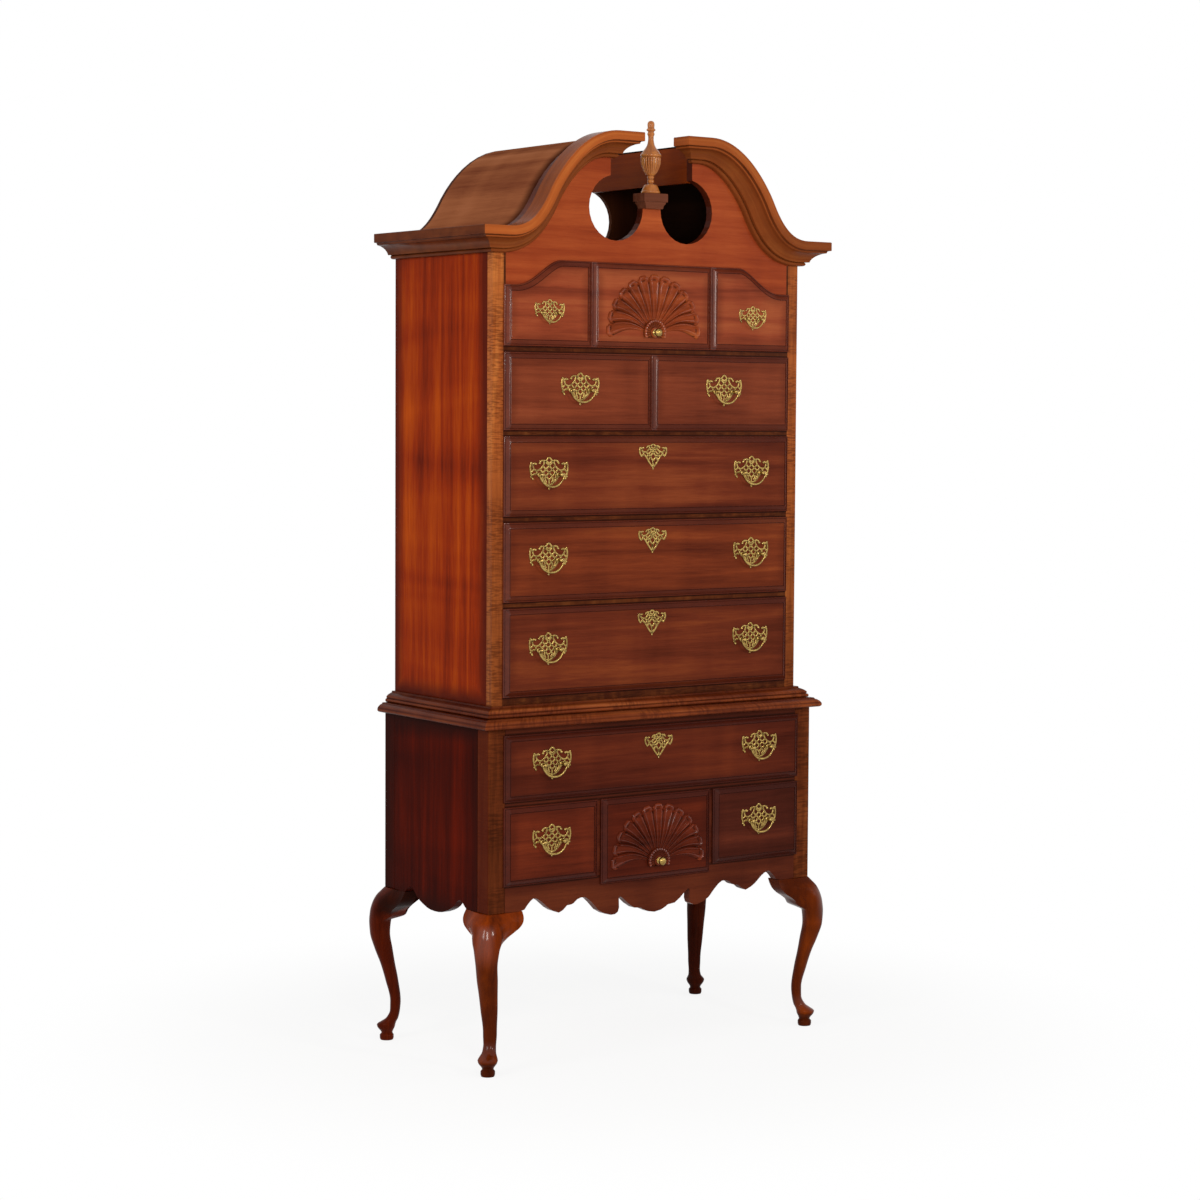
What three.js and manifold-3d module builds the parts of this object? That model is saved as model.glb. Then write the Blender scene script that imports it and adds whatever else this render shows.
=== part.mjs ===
// A bonnet-top highboy: a lower case on four cabriole legs with four drawers, an upper case
// with five drawers, a broken gooseneck crown, a roof behind it, a finial and pierced bail pulls.
// Millimetres, +Z up, the front faces -Y, X runs across the width. The origin is on the floor,
// under the middle of the outer box.
import * as THREE from 'three';
import { mergeVertices } from 'three/addons/utils/BufferGeometryUtils.js';
import Module from 'manifold-3d';

const wasm = await Module();
wasm.setup();

// Driving dimensions of the two cases
const lowerWidth = 920;
const lowerDepth = 452;
const legHeight = 365;
const lowerHeight = 416;
const upperWidth = 866;
const upperSetback = 30;
const upperHeight = 1012;
const waistThick = 22;
const waistOverhang = 21;
const baseThick = 26;
const baseOverhang = 26.5;
const sideThick = 20;
const frameThick = 22;
const backThick = 12;
const dustBoardThick = 12;
const stileWidth = 34;
const postSize = 45;
const fitGap = 0.3;
const overrun = 2;

// Drawer fronts, from the lowest row up, and the bare strips of frame between their lips
const lowerFrontFoot = 59;
const lowerFrontTop = 15.5;
const lowerRowGap = 11;
const lowerRowShares = [179, 151.5];
const shellDrawerDrop = 18;
const shellFrontWidth = 312;
const shellFrontGap = 9.6;
const upperFrontFoot = 17.5;
const upperFrontTop = 11;
const upperRowGap = 13.5;
const upperRowShares = [200.5, 179.5, 180, 175, 136.5];
const topRowRise = 58;
const topRowEar = 30;
const topRowScoop = 122;
const lip = 6;
const lipThick = 5;
const fieldProud = 11;
const borderWidth = 15;
const valleyWidth = 22;
const topValleyX = 170;

// Drawer boxes
const boxWall = 12;
const boxBottom = 6;
const boxBottomLift = 8;
const boxBackGap = 18;
const boxTopGap = 12;
const boxSideGap = 3;
const runnerWidth = 20;
const runnerHeight = 22;
const guideHeight = 18;
const guideStandOff = 2;

// Cabriole legs: a corner post above, a knee with two wings, an ankle, a slipper foot on a disc
const kneeGirth = 54;
const wingReach = 92;
const wingThick = 40;
const apronHang = 39;
const sideApronHang = 25;
const legTurn = 45;

// Crown moulding and the gooseneck that carries it up to the channel
const crownOut = 58;
const crownHigh = 57;
const gooseneckRise = 226.5;
const gooseneckInset = 13;
const gooseneckFlat = 15;
const channelHalf = 116;
const roofOut = 56;
const roofSink = 12;
const roofThick = 8;
const channelBoard = 12;
const circleRadius = 75;
const circleX = 100;
const circleLift = 114;
const postTopLift = 116;

// Finial and its plinth
const plinthWidth = 67;
const plinthDepth = 45;
const plinthHeight = 35;
const plinthForward = 6;
const finialHeight = 167;
const finialRadius = 24.5;

// Carved shells and knobs
const shellThick = 5;
const shellRays = 13;
const hubRadius = 25;
const hubThick = 9;
const shellDroop = 6;
const scallopShare = 0.07;
const hubSides = 16;
const knobRadius = 9.5;
const knobReach = 24;
const upperShellLift = 37;
const lowerShellLift = 43;
const upperShellTopGap = 23.5;
const lowerShellTopGap = 20;
const shellSideGap = 20;

// Bail pulls; the small ones on the top drawer are made at smallPullShare of the full size
const plateWidth = 104;
const plateHeight = 72;
const plateThick = 2;
const pullPostSpan = 52;
const pullPostRadius = 4.5;
const pullPostReach = 18;
const bailRadius = 2;
const bailDrop = 30;
const pintleLength = 4;
const pintleClear = 0.5;
const smallPullShare = 0.77;
const upperPullInset = 116;
const lowerPullInset = 124;
const pairPullShare = 0.5062;

// Heights of the main planes
const lowerTop = legHeight + lowerHeight;
const waistTop = lowerTop + waistThick;
const upperFoot = waistTop + baseThick;
const crownFoot = upperFoot + upperHeight;
const lowerHalf = lowerWidth / 2;
const upperHalf = upperWidth / 2;
const gooseneckOuter = upperHalf - gooseneckInset;
const gooseneckInner = channelHalf + gooseneckFlat;
const half = 1 / 2;
const quarterTurn = Math.PI / 2;
const rightAngle = 90;
const straightAngle = 180;

// Looks of the materials
const finish = (color, roughness, metalness = 0) =>
  new THREE.MeshStandardMaterial({ color, roughness, metalness });
const looks = {
  case: () => finish(0x6e2a12, 0.35),
  drawer: () => finish(0x5c1f10, 0.32),
  leg: () => finish(0x54200f, 0.28),
  crown: () => finish(0x8a3d18, 0.3),
  finial: () => finish(0xa86a2c, 0.35),
  brass: () => finish(0xb08a3c, 0.35, 1),
  dark: () => finish(0x2c100a, 0.6),
};

// A closed three.js geometry as a solid that can be joined and cut
function solid(geometry) {
  const bare = new THREE.BufferGeometry();
  bare.setAttribute('position', geometry.getAttribute('position').clone());
  if (geometry.index) bare.setIndex(geometry.index.clone());
  const merged = mergeVertices(bare.index ? bare.toNonIndexed() : bare);
  const faces = [];
  const index = merged.index.array;
  for (let i = 0; i < index.length; i += 3) {
    const [a, b, c] = [index[i], index[i + 1], index[i + 2]];
    if (a !== b && b !== c && c !== a) faces.push(a, b, c);
  }
  return new wasm.Manifold(
    new wasm.Mesh({
      numProp: 3,
      vertProperties: merged.attributes.position.array,
      triVerts: new Uint32Array(faces),
    }),
  );
}

function geometryOf(body) {
  const mesh = body.getMesh();
  const geometry = new THREE.BufferGeometry();
  geometry.setAttribute('position', new THREE.BufferAttribute(mesh.vertProperties, mesh.numProp));
  geometry.setIndex(new THREE.BufferAttribute(mesh.triVerts, 1));
  const flat = geometry.toNonIndexed();
  flat.computeVertexNormals();
  return flat;
}

function piece(name, body, look) {
  const mesh = new THREE.Mesh(geometryOf(body), look());
  mesh.name = name;
  return mesh;
}

const join = (...bodies) => bodies.reduce((sum, body) => sum.add(body));
const mirrored = (body) => body.scale([-1, 1, 1]);

// A box from its low corner to its high corner
function box(x0, x1, y0, y1, z0, z1) {
  const geometry = new THREE.BoxGeometry(x1 - x0, y1 - y0, z1 - z0);
  geometry.translate((x0 + x1) * half, (y0 + y1) * half, (z0 + z1) * half);
  return solid(geometry);
}

// An outline in X and Z, carried from y0 back to y1
function plate(outline, y0, y1) {
  const shape = new THREE.Shape(outline.map(([x, z]) => new THREE.Vector2(x, z)));
  const geometry = new THREE.ExtrudeGeometry(shape, { depth: y1 - y0, bevelEnabled: false });
  geometry.rotateX(quarterTurn);
  geometry.translate(0, y1, 0);
  return solid(geometry);
}

// An outline in Y and Z, carried from x0 across to x1
function sidePlate(outline, x0, x1) {
  const turned = plate(outline, -x1, -x0);
  return turned.rotate([0, 0, rightAngle]);
}

// A closed skin over rings of points that have the same count; each end is closed by its own ring
function skin(rings, capFaces) {
  const count = rings[0].length;
  const faces = [];
  for (let r = 0; r < rings.length - 1; r += 1) {
    for (let i = 0; i < count; i += 1) {
      const j = (i + 1) % count;
      faces.push(r * count + i, r * count + j, (r + 1) * count + j);
      faces.push(r * count + i, (r + 1) * count + j, (r + 1) * count + i);
    }
  }
  const last = (rings.length - 1) * count;
  for (const [a, b, c] of capFaces) faces.push(c, b, a, last + a, last + b, last + c);
  const geometry = new THREE.BufferGeometry();
  geometry.setAttribute('position', new THREE.Float32BufferAttribute(rings.flat(2), 3));
  geometry.setIndex(faces);
  const body = solid(geometry);
  if (body.volume() > 0) return body;
  geometry.setIndex(faces.reverse());
  return solid(geometry);
}

const fanCap = (count) =>
  Array.from({ length: count - 2 }, (_, i) => [0, i + 1, i + 2]);
const outlineCap = (points) =>
  THREE.ShapeUtils.triangulateShape(points.map(([x, y]) => new THREE.Vector2(x, y)), []);

// Points of an outline given on its right half are repeated on the left
const bothSides = (rightHalf) => [
  ...rightHalf,
  ...rightHalf.map(([x, z]) => [-x, z]).reverse(),
];

// An outline moved inwards by a set distance, each corner along its own mitre
function inset(outline, distance) {
  const count = outline.length;
  const turn = Math.sign(THREE.ShapeUtils.area(outline.map(([x, z]) => new THREE.Vector2(x, z))));
  return outline.map(([x, z], i) => {
    const [ax, az] = outline[(i + count - 1) % count];
    const [bx, bz] = outline[(i + 1) % count];
    const before = new THREE.Vector2(x - ax, z - az).normalize();
    const after = new THREE.Vector2(bx - x, bz - z).normalize();
    const mitre = before.clone().add(after).normalize();
    const reach = (distance * turn) / mitre.dot(before);
    return [x - mitre.y * reach, z + mitre.x * reach];
  });
}

// Carved and turned work

// A round tube along points in X and Z; both ends are cut square
function tube(points, radius, sides) {
  const rings = points.map(([x, z], i) => {
    const [ax, az] = points[Math.max(i - 1, 0)];
    const [bx, bz] = points[Math.min(i + 1, points.length - 1)];
    const along = new THREE.Vector2(bx - ax, bz - az).normalize();
    return Array.from({ length: sides }, (_, k) => {
      const angle = (k / sides) * Math.PI * 2;
      const flat = radius * Math.cos(angle);
      return [x - along.y * flat, radius * Math.sin(angle), z + along.x * flat];
    });
  });
  return skin(rings, fanCap(sides));
}

// A profile of radius and height turned about +Z
function turned(profile, sides) {
  const points = profile.map(([radius, height]) => new THREE.Vector2(radius, height));
  const geometry = new THREE.LatheGeometry(points, sides);
  geometry.rotateX(quarterTurn);
  return solid(geometry);
}

// The same, lying so that the profile's height points to -Y
const turnedForward = (profile, sides) => turned(profile, sides).rotate([rightAngle, 0, 0]);

// Cabriole leg, drawn for the front right corner: the case corner is at x = 0, y = 0 and the
// diagonal outward runs to +X and -Y. A level holds its height as a share of legHeight, then its
// centre outward from the corner, half depth and half width as shares of the knee's girth, how
// square it is, the reach of its wings as a share of wingReach, and how far the wings stand
// proud of the case, as a share of the knee's girth.
const legLevelShares = [
  [0, -0.09, 0.275, 0.275, 2, 0, 0],
  [0.014, -0.09, 0.305, 0.305, 2, 0, 0],
  [0.032, -0.09, 0.305, 0.305, 2, 0, 0],
  [0.044, -0.1, 0.24, 0.24, 2, 0, 0],
  [0.085, -0.06, 0.385, 0.4, 2, 0, 0],
  [0.099, -0.06, 0.405, 0.425, 2, 0, 0],
  [0.115, -0.15, 0.35, 0.38, 2, 0, 0],
  [0.142, -0.33, 0.265, 0.295, 2, 0, 0],
  [0.197, -0.46, 0.215, 0.255, 2, 0, 0],
  [0.255, -0.48, 0.228, 0.265, 1.9, 0, 0],
  [0.395, -0.31, 0.28, 0.315, 1.8, 0, 0],
  [0.5, -0.13, 0.318, 0.355, 1.75, 0, 0],
  [0.595, 0.055, 0.395, 0.42, 1.7, 0, 0],
  [0.7, 0.22, 0.46, 0.5, 1.6, 0, 0],
  [0.78, 0.213, 0.5, 0.59, 1.6, 0, 0],
  [0.822, 0.15, 0.535, 0.64, 1.6, 0, 0],
  [0.855, 0.065, 0.583, 0.66, 1.6, 0.51, 0.22],
  [0.882, -0.01, 0.602, 0.66, 1.6, 0.74, 0.24],
  [0.907, -0.088, 0.616, 0.66, 1.55, 0.92, 0.24],
  [0.945, -0.236, 0.616, 0.64, 1.5, 1, 0.18],
  [0.975, -0.389, 0.574, 0.6, 1.4, 1, 0.09],
  [1, -0.514, 0.523, 0.56, 1.3, 1, 0],
];
const legAngles = [0, 20, 40, 60, 80, 100];
const wingRootAngles = [113, 126, 139];
const wingTailAngle = 155;

// Right half of a level's outline, from the ridge round to the inner corner: the knee or shank,
// with a squared wing where the level has one
function legHalfRing([heightShare, centreShare, deepShare, wideShare, square, wingShare, proudShare]) {
  const shift = centreShare * kneeGirth * Math.SQRT1_2;
  const height = heightShare * legHeight;
  const round = (degrees) => {
    const angle = THREE.MathUtils.degToRad(degrees);
    const deep = Math.abs(Math.cos(angle)) / (deepShare * kneeGirth);
    const wide = Math.abs(Math.sin(angle)) / (wideShare * kneeGirth);
    const radius = (deep ** square + wide ** square) ** (-1 / square);
    const turn = -THREE.MathUtils.degToRad(legTurn + degrees);
    return [shift + radius * Math.cos(turn), -shift + radius * Math.sin(turn), height];
  };
  const face = -proudShare * kneeGirth;
  const wing = [0, half, 1].map((along) =>
    [-wingShare * wingReach, face + along * wingThick, height]);
  const side = wingShare ? wing : wingRootAngles.map(round);
  return [...legAngles.map(round), ...side, round(wingTailAngle), round(straightAngle)];
}

// The left half is the right half mirrored about the diagonal
function legRing(level) {
  const right = legHalfRing(level);
  const left = right.slice(1, -1).map(([x, y, z]) => [-y, -x, z]).reverse();
  return [...right, ...left];
}

function cabrioleLeg() {
  const rings = legLevelShares.map(legRing);
  const carved = skin(rings, fanCap(rings[0].length));
  const post = box(-postSize, 0, 0, postSize, legHeight - overrun, lowerTop);
  return join(carved, post).translate([lowerHalf, 0, 0]);
}

const toBack = (body) => body.mirror([0, 1, 0]).translate([0, lowerDepth, 0]);

// Lower case

// Scalloped edges, as shares of the apron's half length and of its deepest hang
const frontApronShares = [
  [0, 1],
  [0.045, 0.92],
  [0.08, 0.75],
  [0.093, 0.655],
  [0.14, 0.6],
  [0.178, 0.335],
  [0.208, 0.045],
  [0.234, -0.16],
  [0.246, -0.13],
  [0.244, 0.48],
  [0.252, 0.73],
  [0.272, 0.85],
  [0.3, 0.86],
  [0.343, 0.735],
  [0.382, 0.5],
  [0.421, 0.055],
  [0.45, -0.23],
  [0.475, -0.38],
  [0.5, -0.39],
  [0.526, -0.31],
  [0.55, -0.11],
  [0.567, -0.045],
  [0.593, -0.027],
  [0.621, 0.23],
  [0.648, 0.35],
  [0.687, 0.19],
  [0.715, 0.01],
  [0.762, -0.42],
  [0.795, -0.64],
  [0.814, -0.66],
  [0.832, -0.55],
  [0.855, -0.31],
  [0.872, -0.08],
  [0.9, 0],
];
const sideApronShares = [
  [0, 1],
  [0.1, 0.97],
  [0.18, 0.88],
  [0.3, 0.6],
  [0.38, 0.35],
  [0.44, 0.1],
  [0.524, -0.43],
  [0.57, -0.64],
  [0.61, -0.65],
  [0.655, -0.52],
  [0.71, -0.22],
  [0.75, 0],
];

// A leg's wings rise to legHeight, so the aprons keep a gap above them at their outer ends
function apronEdge(shares, halfLength, hang) {
  const edge = shares.map(([along, down]) => [along * halfLength, legHeight - down * hang]);
  edge[edge.length - 1][1] += fitGap;
  return [...edge, [halfLength, legHeight + fitGap]];
}

// The rows of fronts share the height that a case leaves for them, from the lowest row up
function rowHeights(shares, room) {
  const whole = shares.reduce((sum, share) => sum + share);
  return shares.map((share) => (room * share) / whole);
}

const [lowerRowHeight, wideRowHeight] = rowHeights(
  lowerRowShares,
  lowerHeight - lowerFrontFoot - lowerFrontTop - lowerRowGap,
);
const openHalf = lowerHalf - postSize;
const lowerRowFoot = legHeight + lowerFrontFoot;
const lowerRowTop = lowerRowFoot + lowerRowHeight;
const wideRowFoot = lowerRowTop + lowerRowGap;
const wideRowTop = wideRowFoot + wideRowHeight;
const shellOpenHalf = shellFrontWidth * half - lip;
const sideFrontInner = shellFrontWidth * half + shellFrontGap;
const sideOpenInner = sideFrontInner + lip;

function baseFrame() {
  const edge = apronEdge(frontApronShares, openHalf, apronHang);
  const board = [...edge, [openHalf, wideRowFoot + lip]];
  let frame = plate(bothSides(board).slice(1), 0, frameThick);
  const rowTop = lowerRowTop - lip;
  const cut = (x0, x1, z0) => box(x0, x1, -overrun, frameThick + overrun, z0, rowTop);
  frame = frame.subtract(cut(-shellOpenHalf, shellOpenHalf, lowerRowFoot - shellDrawerDrop + lip));
  const sideCut = cut(sideOpenInner, openHalf + overrun, lowerRowFoot + lip);
  return frame.subtract(sideCut).subtract(mirrored(sideCut));
}

function baseSide() {
  const middle = lowerDepth * half;
  const edge = apronEdge(sideApronShares, middle - postSize, sideApronHang);
  const outline = bothSides([...edge, [middle - postSize, lowerTop]]).slice(1);
  const centred = outline.map(([y, z]) => [y + middle, z]);
  const panel = sidePlate(centred, lowerHalf - sideThick, lowerHalf);
  const runners = [lowerRowFoot + lip, wideRowFoot + lip].flatMap((top) => [
    box(openHalf - runnerWidth, openHalf - overrun, frameThick, lowerDepth - backThick,
      top - runnerHeight, top),
    box(openHalf - runnerWidth, lowerHalf - sideThick * half, postSize, lowerDepth - postSize,
      top - runnerHeight, top),
    box(openHalf - guideStandOff, lowerHalf - sideThick * half, postSize, lowerDepth - postSize,
      top - runnerHeight, top + guideHeight),
  ]);
  return join(panel, ...runners);
}

// The back, with the two runners that stand behind the dividers of the lowest row
function baseBack() {
  const back = box(-openHalf, openHalf, lowerDepth - backThick, lowerDepth,
    legHeight + fitGap, lowerTop);
  const sideTop = lowerRowFoot + lip;
  const shellTop = sideTop - shellDrawerDrop;
  const foot = shellTop - runnerHeight;
  const outline = [
    [shellOpenHalf - runnerWidth, foot],
    [sideOpenInner + runnerWidth, foot],
    [sideOpenInner + runnerWidth, sideTop],
    [sideOpenInner + guideStandOff, sideTop],
    [sideOpenInner + guideStandOff, sideTop + guideHeight],
    [shellOpenHalf - guideStandOff, sideTop + guideHeight],
    [shellOpenHalf - guideStandOff, shellTop],
    [shellOpenHalf - runnerWidth, shellTop],
  ];
  const runner = plate(outline, frameThick, lowerDepth - backThick * half);
  return join(back, runner, mirrored(runner));
}

// A board whose front and end edges follow a moulding; its back edge stays square
function mouldedBoard(halfWidth, frontY, edge, foot) {
  const rings = edge.map(([out, up]) => [
    [halfWidth + out, frontY - out, foot + up],
    [halfWidth + out, lowerDepth, foot + up],
    [-halfWidth - out, lowerDepth, foot + up],
    [-halfWidth - out, frontY - out, foot + up],
  ]);
  return skin(rings, fanCap(rings[0].length));
}

// Each edge is in shares of the board's overhang and thickness
const waistEdgeShares = [
  [0, 0],
  [0.88, 0.1],
  [1, 0.27],
  [0.98, 0.42],
  [0.86, 0.62],
  [0.62, 0.82],
  [0.3, 1],
];
const baseEdgeShares = [
  [0.85, 0],
  [0.98, 0.08],
  [1, 0.3],
  [0.88, 0.48],
  [0.72, 0.64],
  [0.52, 0.8],
  [0.34, 0.92],
  [0.31, 1],
];
const edgeOf = (shares, out, up) => shares.map(([a, b]) => [a * out, b * up]);

function waistBoard() {
  const edge = edgeOf(waistEdgeShares, waistOverhang, waistThick);
  const board = mouldedBoard(lowerHalf, 0, edge, lowerTop);
  const rail = box(-openHalf, openHalf, 0, frameThick, wideRowTop - lip, lowerTop + waistThick * half);
  return join(board, rail);
}

// Upper case

const upperOpenHalf = upperHalf - stileWidth;
const frameBack = upperSetback + frameThick;
const panelBack = lowerDepth - backThick;
const upperRowGaps = (upperRowShares.length - 1) * upperRowGap;
const upperRowHeights = rowHeights(
  upperRowShares,
  upperHeight - upperFrontFoot - upperFrontTop - topRowRise - upperRowGaps,
);
const upperRowFeet = [];
upperRowHeights.reduce((foot, height) => {
  upperRowFeet.push(foot);
  return foot + height + upperRowGap;
}, upperFoot + upperFrontFoot);
const topRowEarTop = upperRowFeet.at(-1) + upperRowHeights.at(-1);

function upperFrame() {
  const stile = box(upperOpenHalf, upperHalf, upperSetback, frameBack, upperFoot, crownFoot);
  const railHeight = upperRowGap + lip * 2;
  const rails = upperRowFeet.map((foot, row) =>
    box(-upperOpenHalf - overrun, upperOpenHalf + overrun, upperSetback, frameBack,
      row ? foot + lip - railHeight : upperFoot, foot + lip));
  return join(stile, mirrored(stile), ...rails);
}

// A side panel with the drawers' runners and guides; the lowest runner rests on the base board
// where the base is too low for its whole height
function upperSide() {
  const inner = upperHalf - sideThick;
  const panel = box(inner, upperHalf, frameBack, lowerDepth, upperFoot, crownFoot + roofOut - roofThick);
  const runners = upperRowFeet.flatMap((foot) => {
    const top = foot + lip;
    const under = Math.max(top - runnerHeight, upperFoot);
    return [
      box(upperOpenHalf - runnerWidth, inner + overrun, frameBack, panelBack - fitGap, under, top),
      box(upperOpenHalf - guideStandOff, inner + overrun, frameBack, panelBack - fitGap,
        under, top + guideHeight),
    ];
  });
  return join(panel, ...runners);
}

const upperBase = () =>
  mouldedBoard(upperHalf, upperSetback, edgeOf(baseEdgeShares, baseOverhang, baseThick), waistTop);

// The gooseneck's foot line, drawn for the right side: two curves that meet at its steepest point.
// Shares of the way from gooseneckOuter in to gooseneckInner, and of gooseneckRise.
const gooseneckShares = [
  [[0, 0], [0.31, 0], [0.455, 0.3], [0.548, 0.538]],
  [[0.548, 0.538], [0.645, 0.75], [0.81, 1], [1, 1]],
];
const gooseneckSteps = 9;

function gooseneckFoot() {
  const at = ([along, up]) => new THREE.Vector2(
    gooseneckOuter + along * (gooseneckInner - gooseneckOuter),
    crownFoot + up * gooseneckRise,
  );
  return gooseneckShares.flatMap((shares, part) => {
    const curve = new THREE.CubicBezierCurve(...shares.map(at));
    const steps = Array.from({ length: gooseneckSteps + 1 }, (_, i) => i / gooseneckSteps);
    return steps.slice(part ? 1 : 0).map((t) => {
      const point = curve.getPoint(t);
      const along = curve.getTangent(t);
      return { x: point.x, z: point.y, upX: along.y, upZ: -along.x };
    });
  });
}

// The roof's outline from the case side to the channel. It lies roofOut above the foot line,
// along that line's own normal, and sinks a little towards its crest.
const sinkPower = 4;

function roofLine(inwards, outerX, innerX) {
  const points = gooseneckFoot().map(({ x, z, upX, upZ }) => {
    const climbed = (z - crownFoot) / gooseneckRise;
    const raise = roofOut - inwards - roofSink * climbed ** sinkPower;
    return [x + upX * raise, z + upZ * raise];
  });
  const crest = crownFoot + gooseneckRise + roofOut - inwards - roofSink;
  return [[outerX, crownFoot + roofOut - inwards], ...points, [innerX, crest]];
}

const circleZ = crownFoot + circleLift;
const postTop = crownFoot + postTopLift;
const circleSides = 28;

// The two round openings and the channel between the goosenecks
function pedimentCut(y0, y1) {
  const depth = y1 - y0 + overrun * 2;
  const cylinder = new THREE.CylinderGeometry(circleRadius, circleRadius, depth, circleSides);
  cylinder.translate(circleX, (y0 + y1) * half, circleZ);
  const round = solid(cylinder);
  const high = crownFoot + gooseneckRise + crownHigh + overrun;
  const channel = box(-channelHalf, channelHalf, y0 - overrun, y1 + overrun, postTop, high);
  return join(round, mirrored(round), channel);
}

const scoopSteps = 5;

// Right half of the top drawer's shaped top edge, from its middle out to the ear
function topRowEdge(halfWidth, earTop, rise) {
  const outer = halfWidth - topRowEar;
  const inner = outer - topRowScoop;
  const steps = Array.from({ length: scoopSteps + 1 }, (_, i) => i / scoopSteps);
  const wave = steps.map((t) => [
    inner + t * (outer - inner),
    earTop + rise * (1 + Math.cos(Math.PI * t)) * half,
  ]);
  return [...wave, [halfWidth, earTop]];
}

// The board across the front of the bonnet: its foot edge clears the top drawer
function scrollBoard() {
  const foot = topRowEdge(upperOpenHalf, topRowEarTop - lip, topRowRise);
  const top = roofLine(0, upperHalf, channelHalf);
  const outline = [...foot, [upperOpenHalf, crownFoot], [upperHalf, crownFoot], ...top];
  const board = plate(bothSides(outline), upperSetback, frameBack);
  return board.subtract(pedimentCut(upperSetback, frameBack));
}

// The back, with the dust board that lies over the top drawer and closes the case under the bonnet
function upperBack() {
  const inner = upperHalf - sideThick;
  const line = roofLine(0, upperHalf, channelHalf).filter(([x]) => x < inner);
  const outline = [[inner, upperFoot], [inner, crownFoot + roofOut], ...line];
  const board = plate(bothSides(outline), panelBack, lowerDepth);
  const dustBoard = box(-inner, inner, frameBack, panelBack + overrun,
    crownFoot, crownFoot + dustBoardThick);
  return join(board.subtract(pedimentCut(panelBack, lowerDepth)), dustBoard);
}

// One half of the roof, with the board that closes its side of the channel
function bonnetRoof() {
  const outer = roofLine(0, upperHalf, channelHalf);
  const inner = roofLine(roofThick, upperHalf, channelHalf + channelBoard);
  const foot = circleZ + circleRadius;
  const outline = [
    ...outer,
    [channelHalf, foot],
    [channelHalf + channelBoard, foot],
    ...inner.reverse(),
  ];
  return plate(outline, frameBack, panelBack);
}

// Section of the crown moulding, in shares of its reach outward and its height
const crownSectionShares = [
  [0, 0],
  [0.14, 0],
  [0.22, 0.05],
  [0.24, 0.1],
  [0.2, 0.155],
  [0.36, 0.155],
  [0.41, 0.25],
  [0.52, 0.38],
  [0.68, 0.49],
  [0.86, 0.55],
  [0.88, 0.62],
  [1, 0.65],
  [1, 1],
  [0, 1],
];

const returnShare = 0.94;

// Side cornice, gooseneck and the short return at the channel, mitred into one length. The
// return stands out a little less than the rest.
function crown() {
  const section = edgeOf(crownSectionShares, crownOut, crownHigh);
  const front = upperSetback;
  const top = crownFoot + gooseneckRise;
  const rings = [
    section.map(([out, up]) => [upperHalf + out, lowerDepth, crownFoot + up]),
    section.map(([out, up]) => [upperHalf + out, front - out, crownFoot + up]),
    ...gooseneckFoot().map(({ x, z, upX, upZ }) =>
      section.map(([out, up]) => [x + upX * up, front - out, z + upZ * up])),
    section.map(([out, up]) => [channelHalf - out * returnShare, front - out, top + up]),
    section.map(([out, up]) => [channelHalf - out * returnShare, front, top + up]),
  ];
  return skin(rings, outlineCap(section));
}

// Plinth and finial

const plinthY = upperSetback + frameThick * half - plinthForward;

// Half section of the plinth, in shares of its half width or half depth and of its height
const plinthShares = [[0.72, 0], [0.76, 0.14], [0.88, 0.36], [0.88, 0.46], [1, 0.46], [1, 1]];

function plinth() {
  const across = bothSides(edgeOf(plinthShares, plinthWidth * half, plinthHeight));
  const along = bothSides(edgeOf(plinthShares, plinthDepth * half, plinthHeight));
  const front = plate(across, -plinthDepth, plinthDepth);
  return front.intersect(sidePlate(along, -plinthWidth, plinthWidth));
}

// Radius and height of the finial's turning, in shares of finialRadius and finialHeight
const finialShares = [
  [0, 0],
  [0.87, 0],
  [0.89, 0.025],
  [0.75, 0.06],
  [0.62, 0.105],
  [0.34, 0.118],
  [0.34, 0.15],
  [0.29, 0.18],
  [0.34, 0.2],
  [0.32, 0.23],
  [0.5, 0.243],
  [0.67, 0.263],
  [0.83, 0.303],
  [0.93, 0.352],
  [1, 0.417],
  [1, 0.48],
  [0.94, 0.497],
  [0.97, 0.512],
  [0.92, 0.532],
  [0.8, 0.563],
  [0.64, 0.595],
  [0.46, 0.628],
  [0.34, 0.66],
  [0.265, 0.716],
  [0.26, 0.785],
  [0.34, 0.808],
  [0.3, 0.835],
  [0.31, 0.86],
  [0.45, 0.875],
  [0.32, 0.893],
  [0.33, 0.95],
  [0.27, 0.985],
  [0.15, 1],
  [0, 1],
];
const finialSides = 14;
const finial = () => turned(edgeOf(finialShares, finialRadius, finialHeight), finialSides);

// Drawers: the origin of each is at the middle of its front's foot, on the plane of the case frame

// The lipped front over its outline, with a moulded border up to the raised field
function drawerFront(outline) {
  const edge = [[0, 0], [0, lipThick], [lip * half, lipThick], [borderWidth, fieldProud]];
  const rings = edge.map(([inwards, proud]) =>
    inset(outline, inwards).map(([x, z]) => [x, -proud, z]));
  return skin(rings, outlineCap(outline));
}

// A mitred groove down a front, between two of its mock drawers
function valley(x, height) {
  const deep = fieldProud - lipThick;
  const shape = new THREE.Shape([
    new THREE.Vector2(-valleyWidth * half, -fieldProud),
    new THREE.Vector2(-valleyWidth * half, -fieldProud - overrun),
    new THREE.Vector2(valleyWidth * half, -fieldProud - overrun),
    new THREE.Vector2(valleyWidth * half, -fieldProud),
    new THREE.Vector2(0, -fieldProud + deep),
  ]);
  const length = height - borderWidth * 2;
  const geometry = new THREE.ExtrudeGeometry(shape, { depth: length, bevelEnabled: false });
  geometry.translate(x, 0, borderWidth);
  return solid(geometry);
}

const boxDepth = lowerDepth - backThick - upperSetback - boxBackGap;

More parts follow.
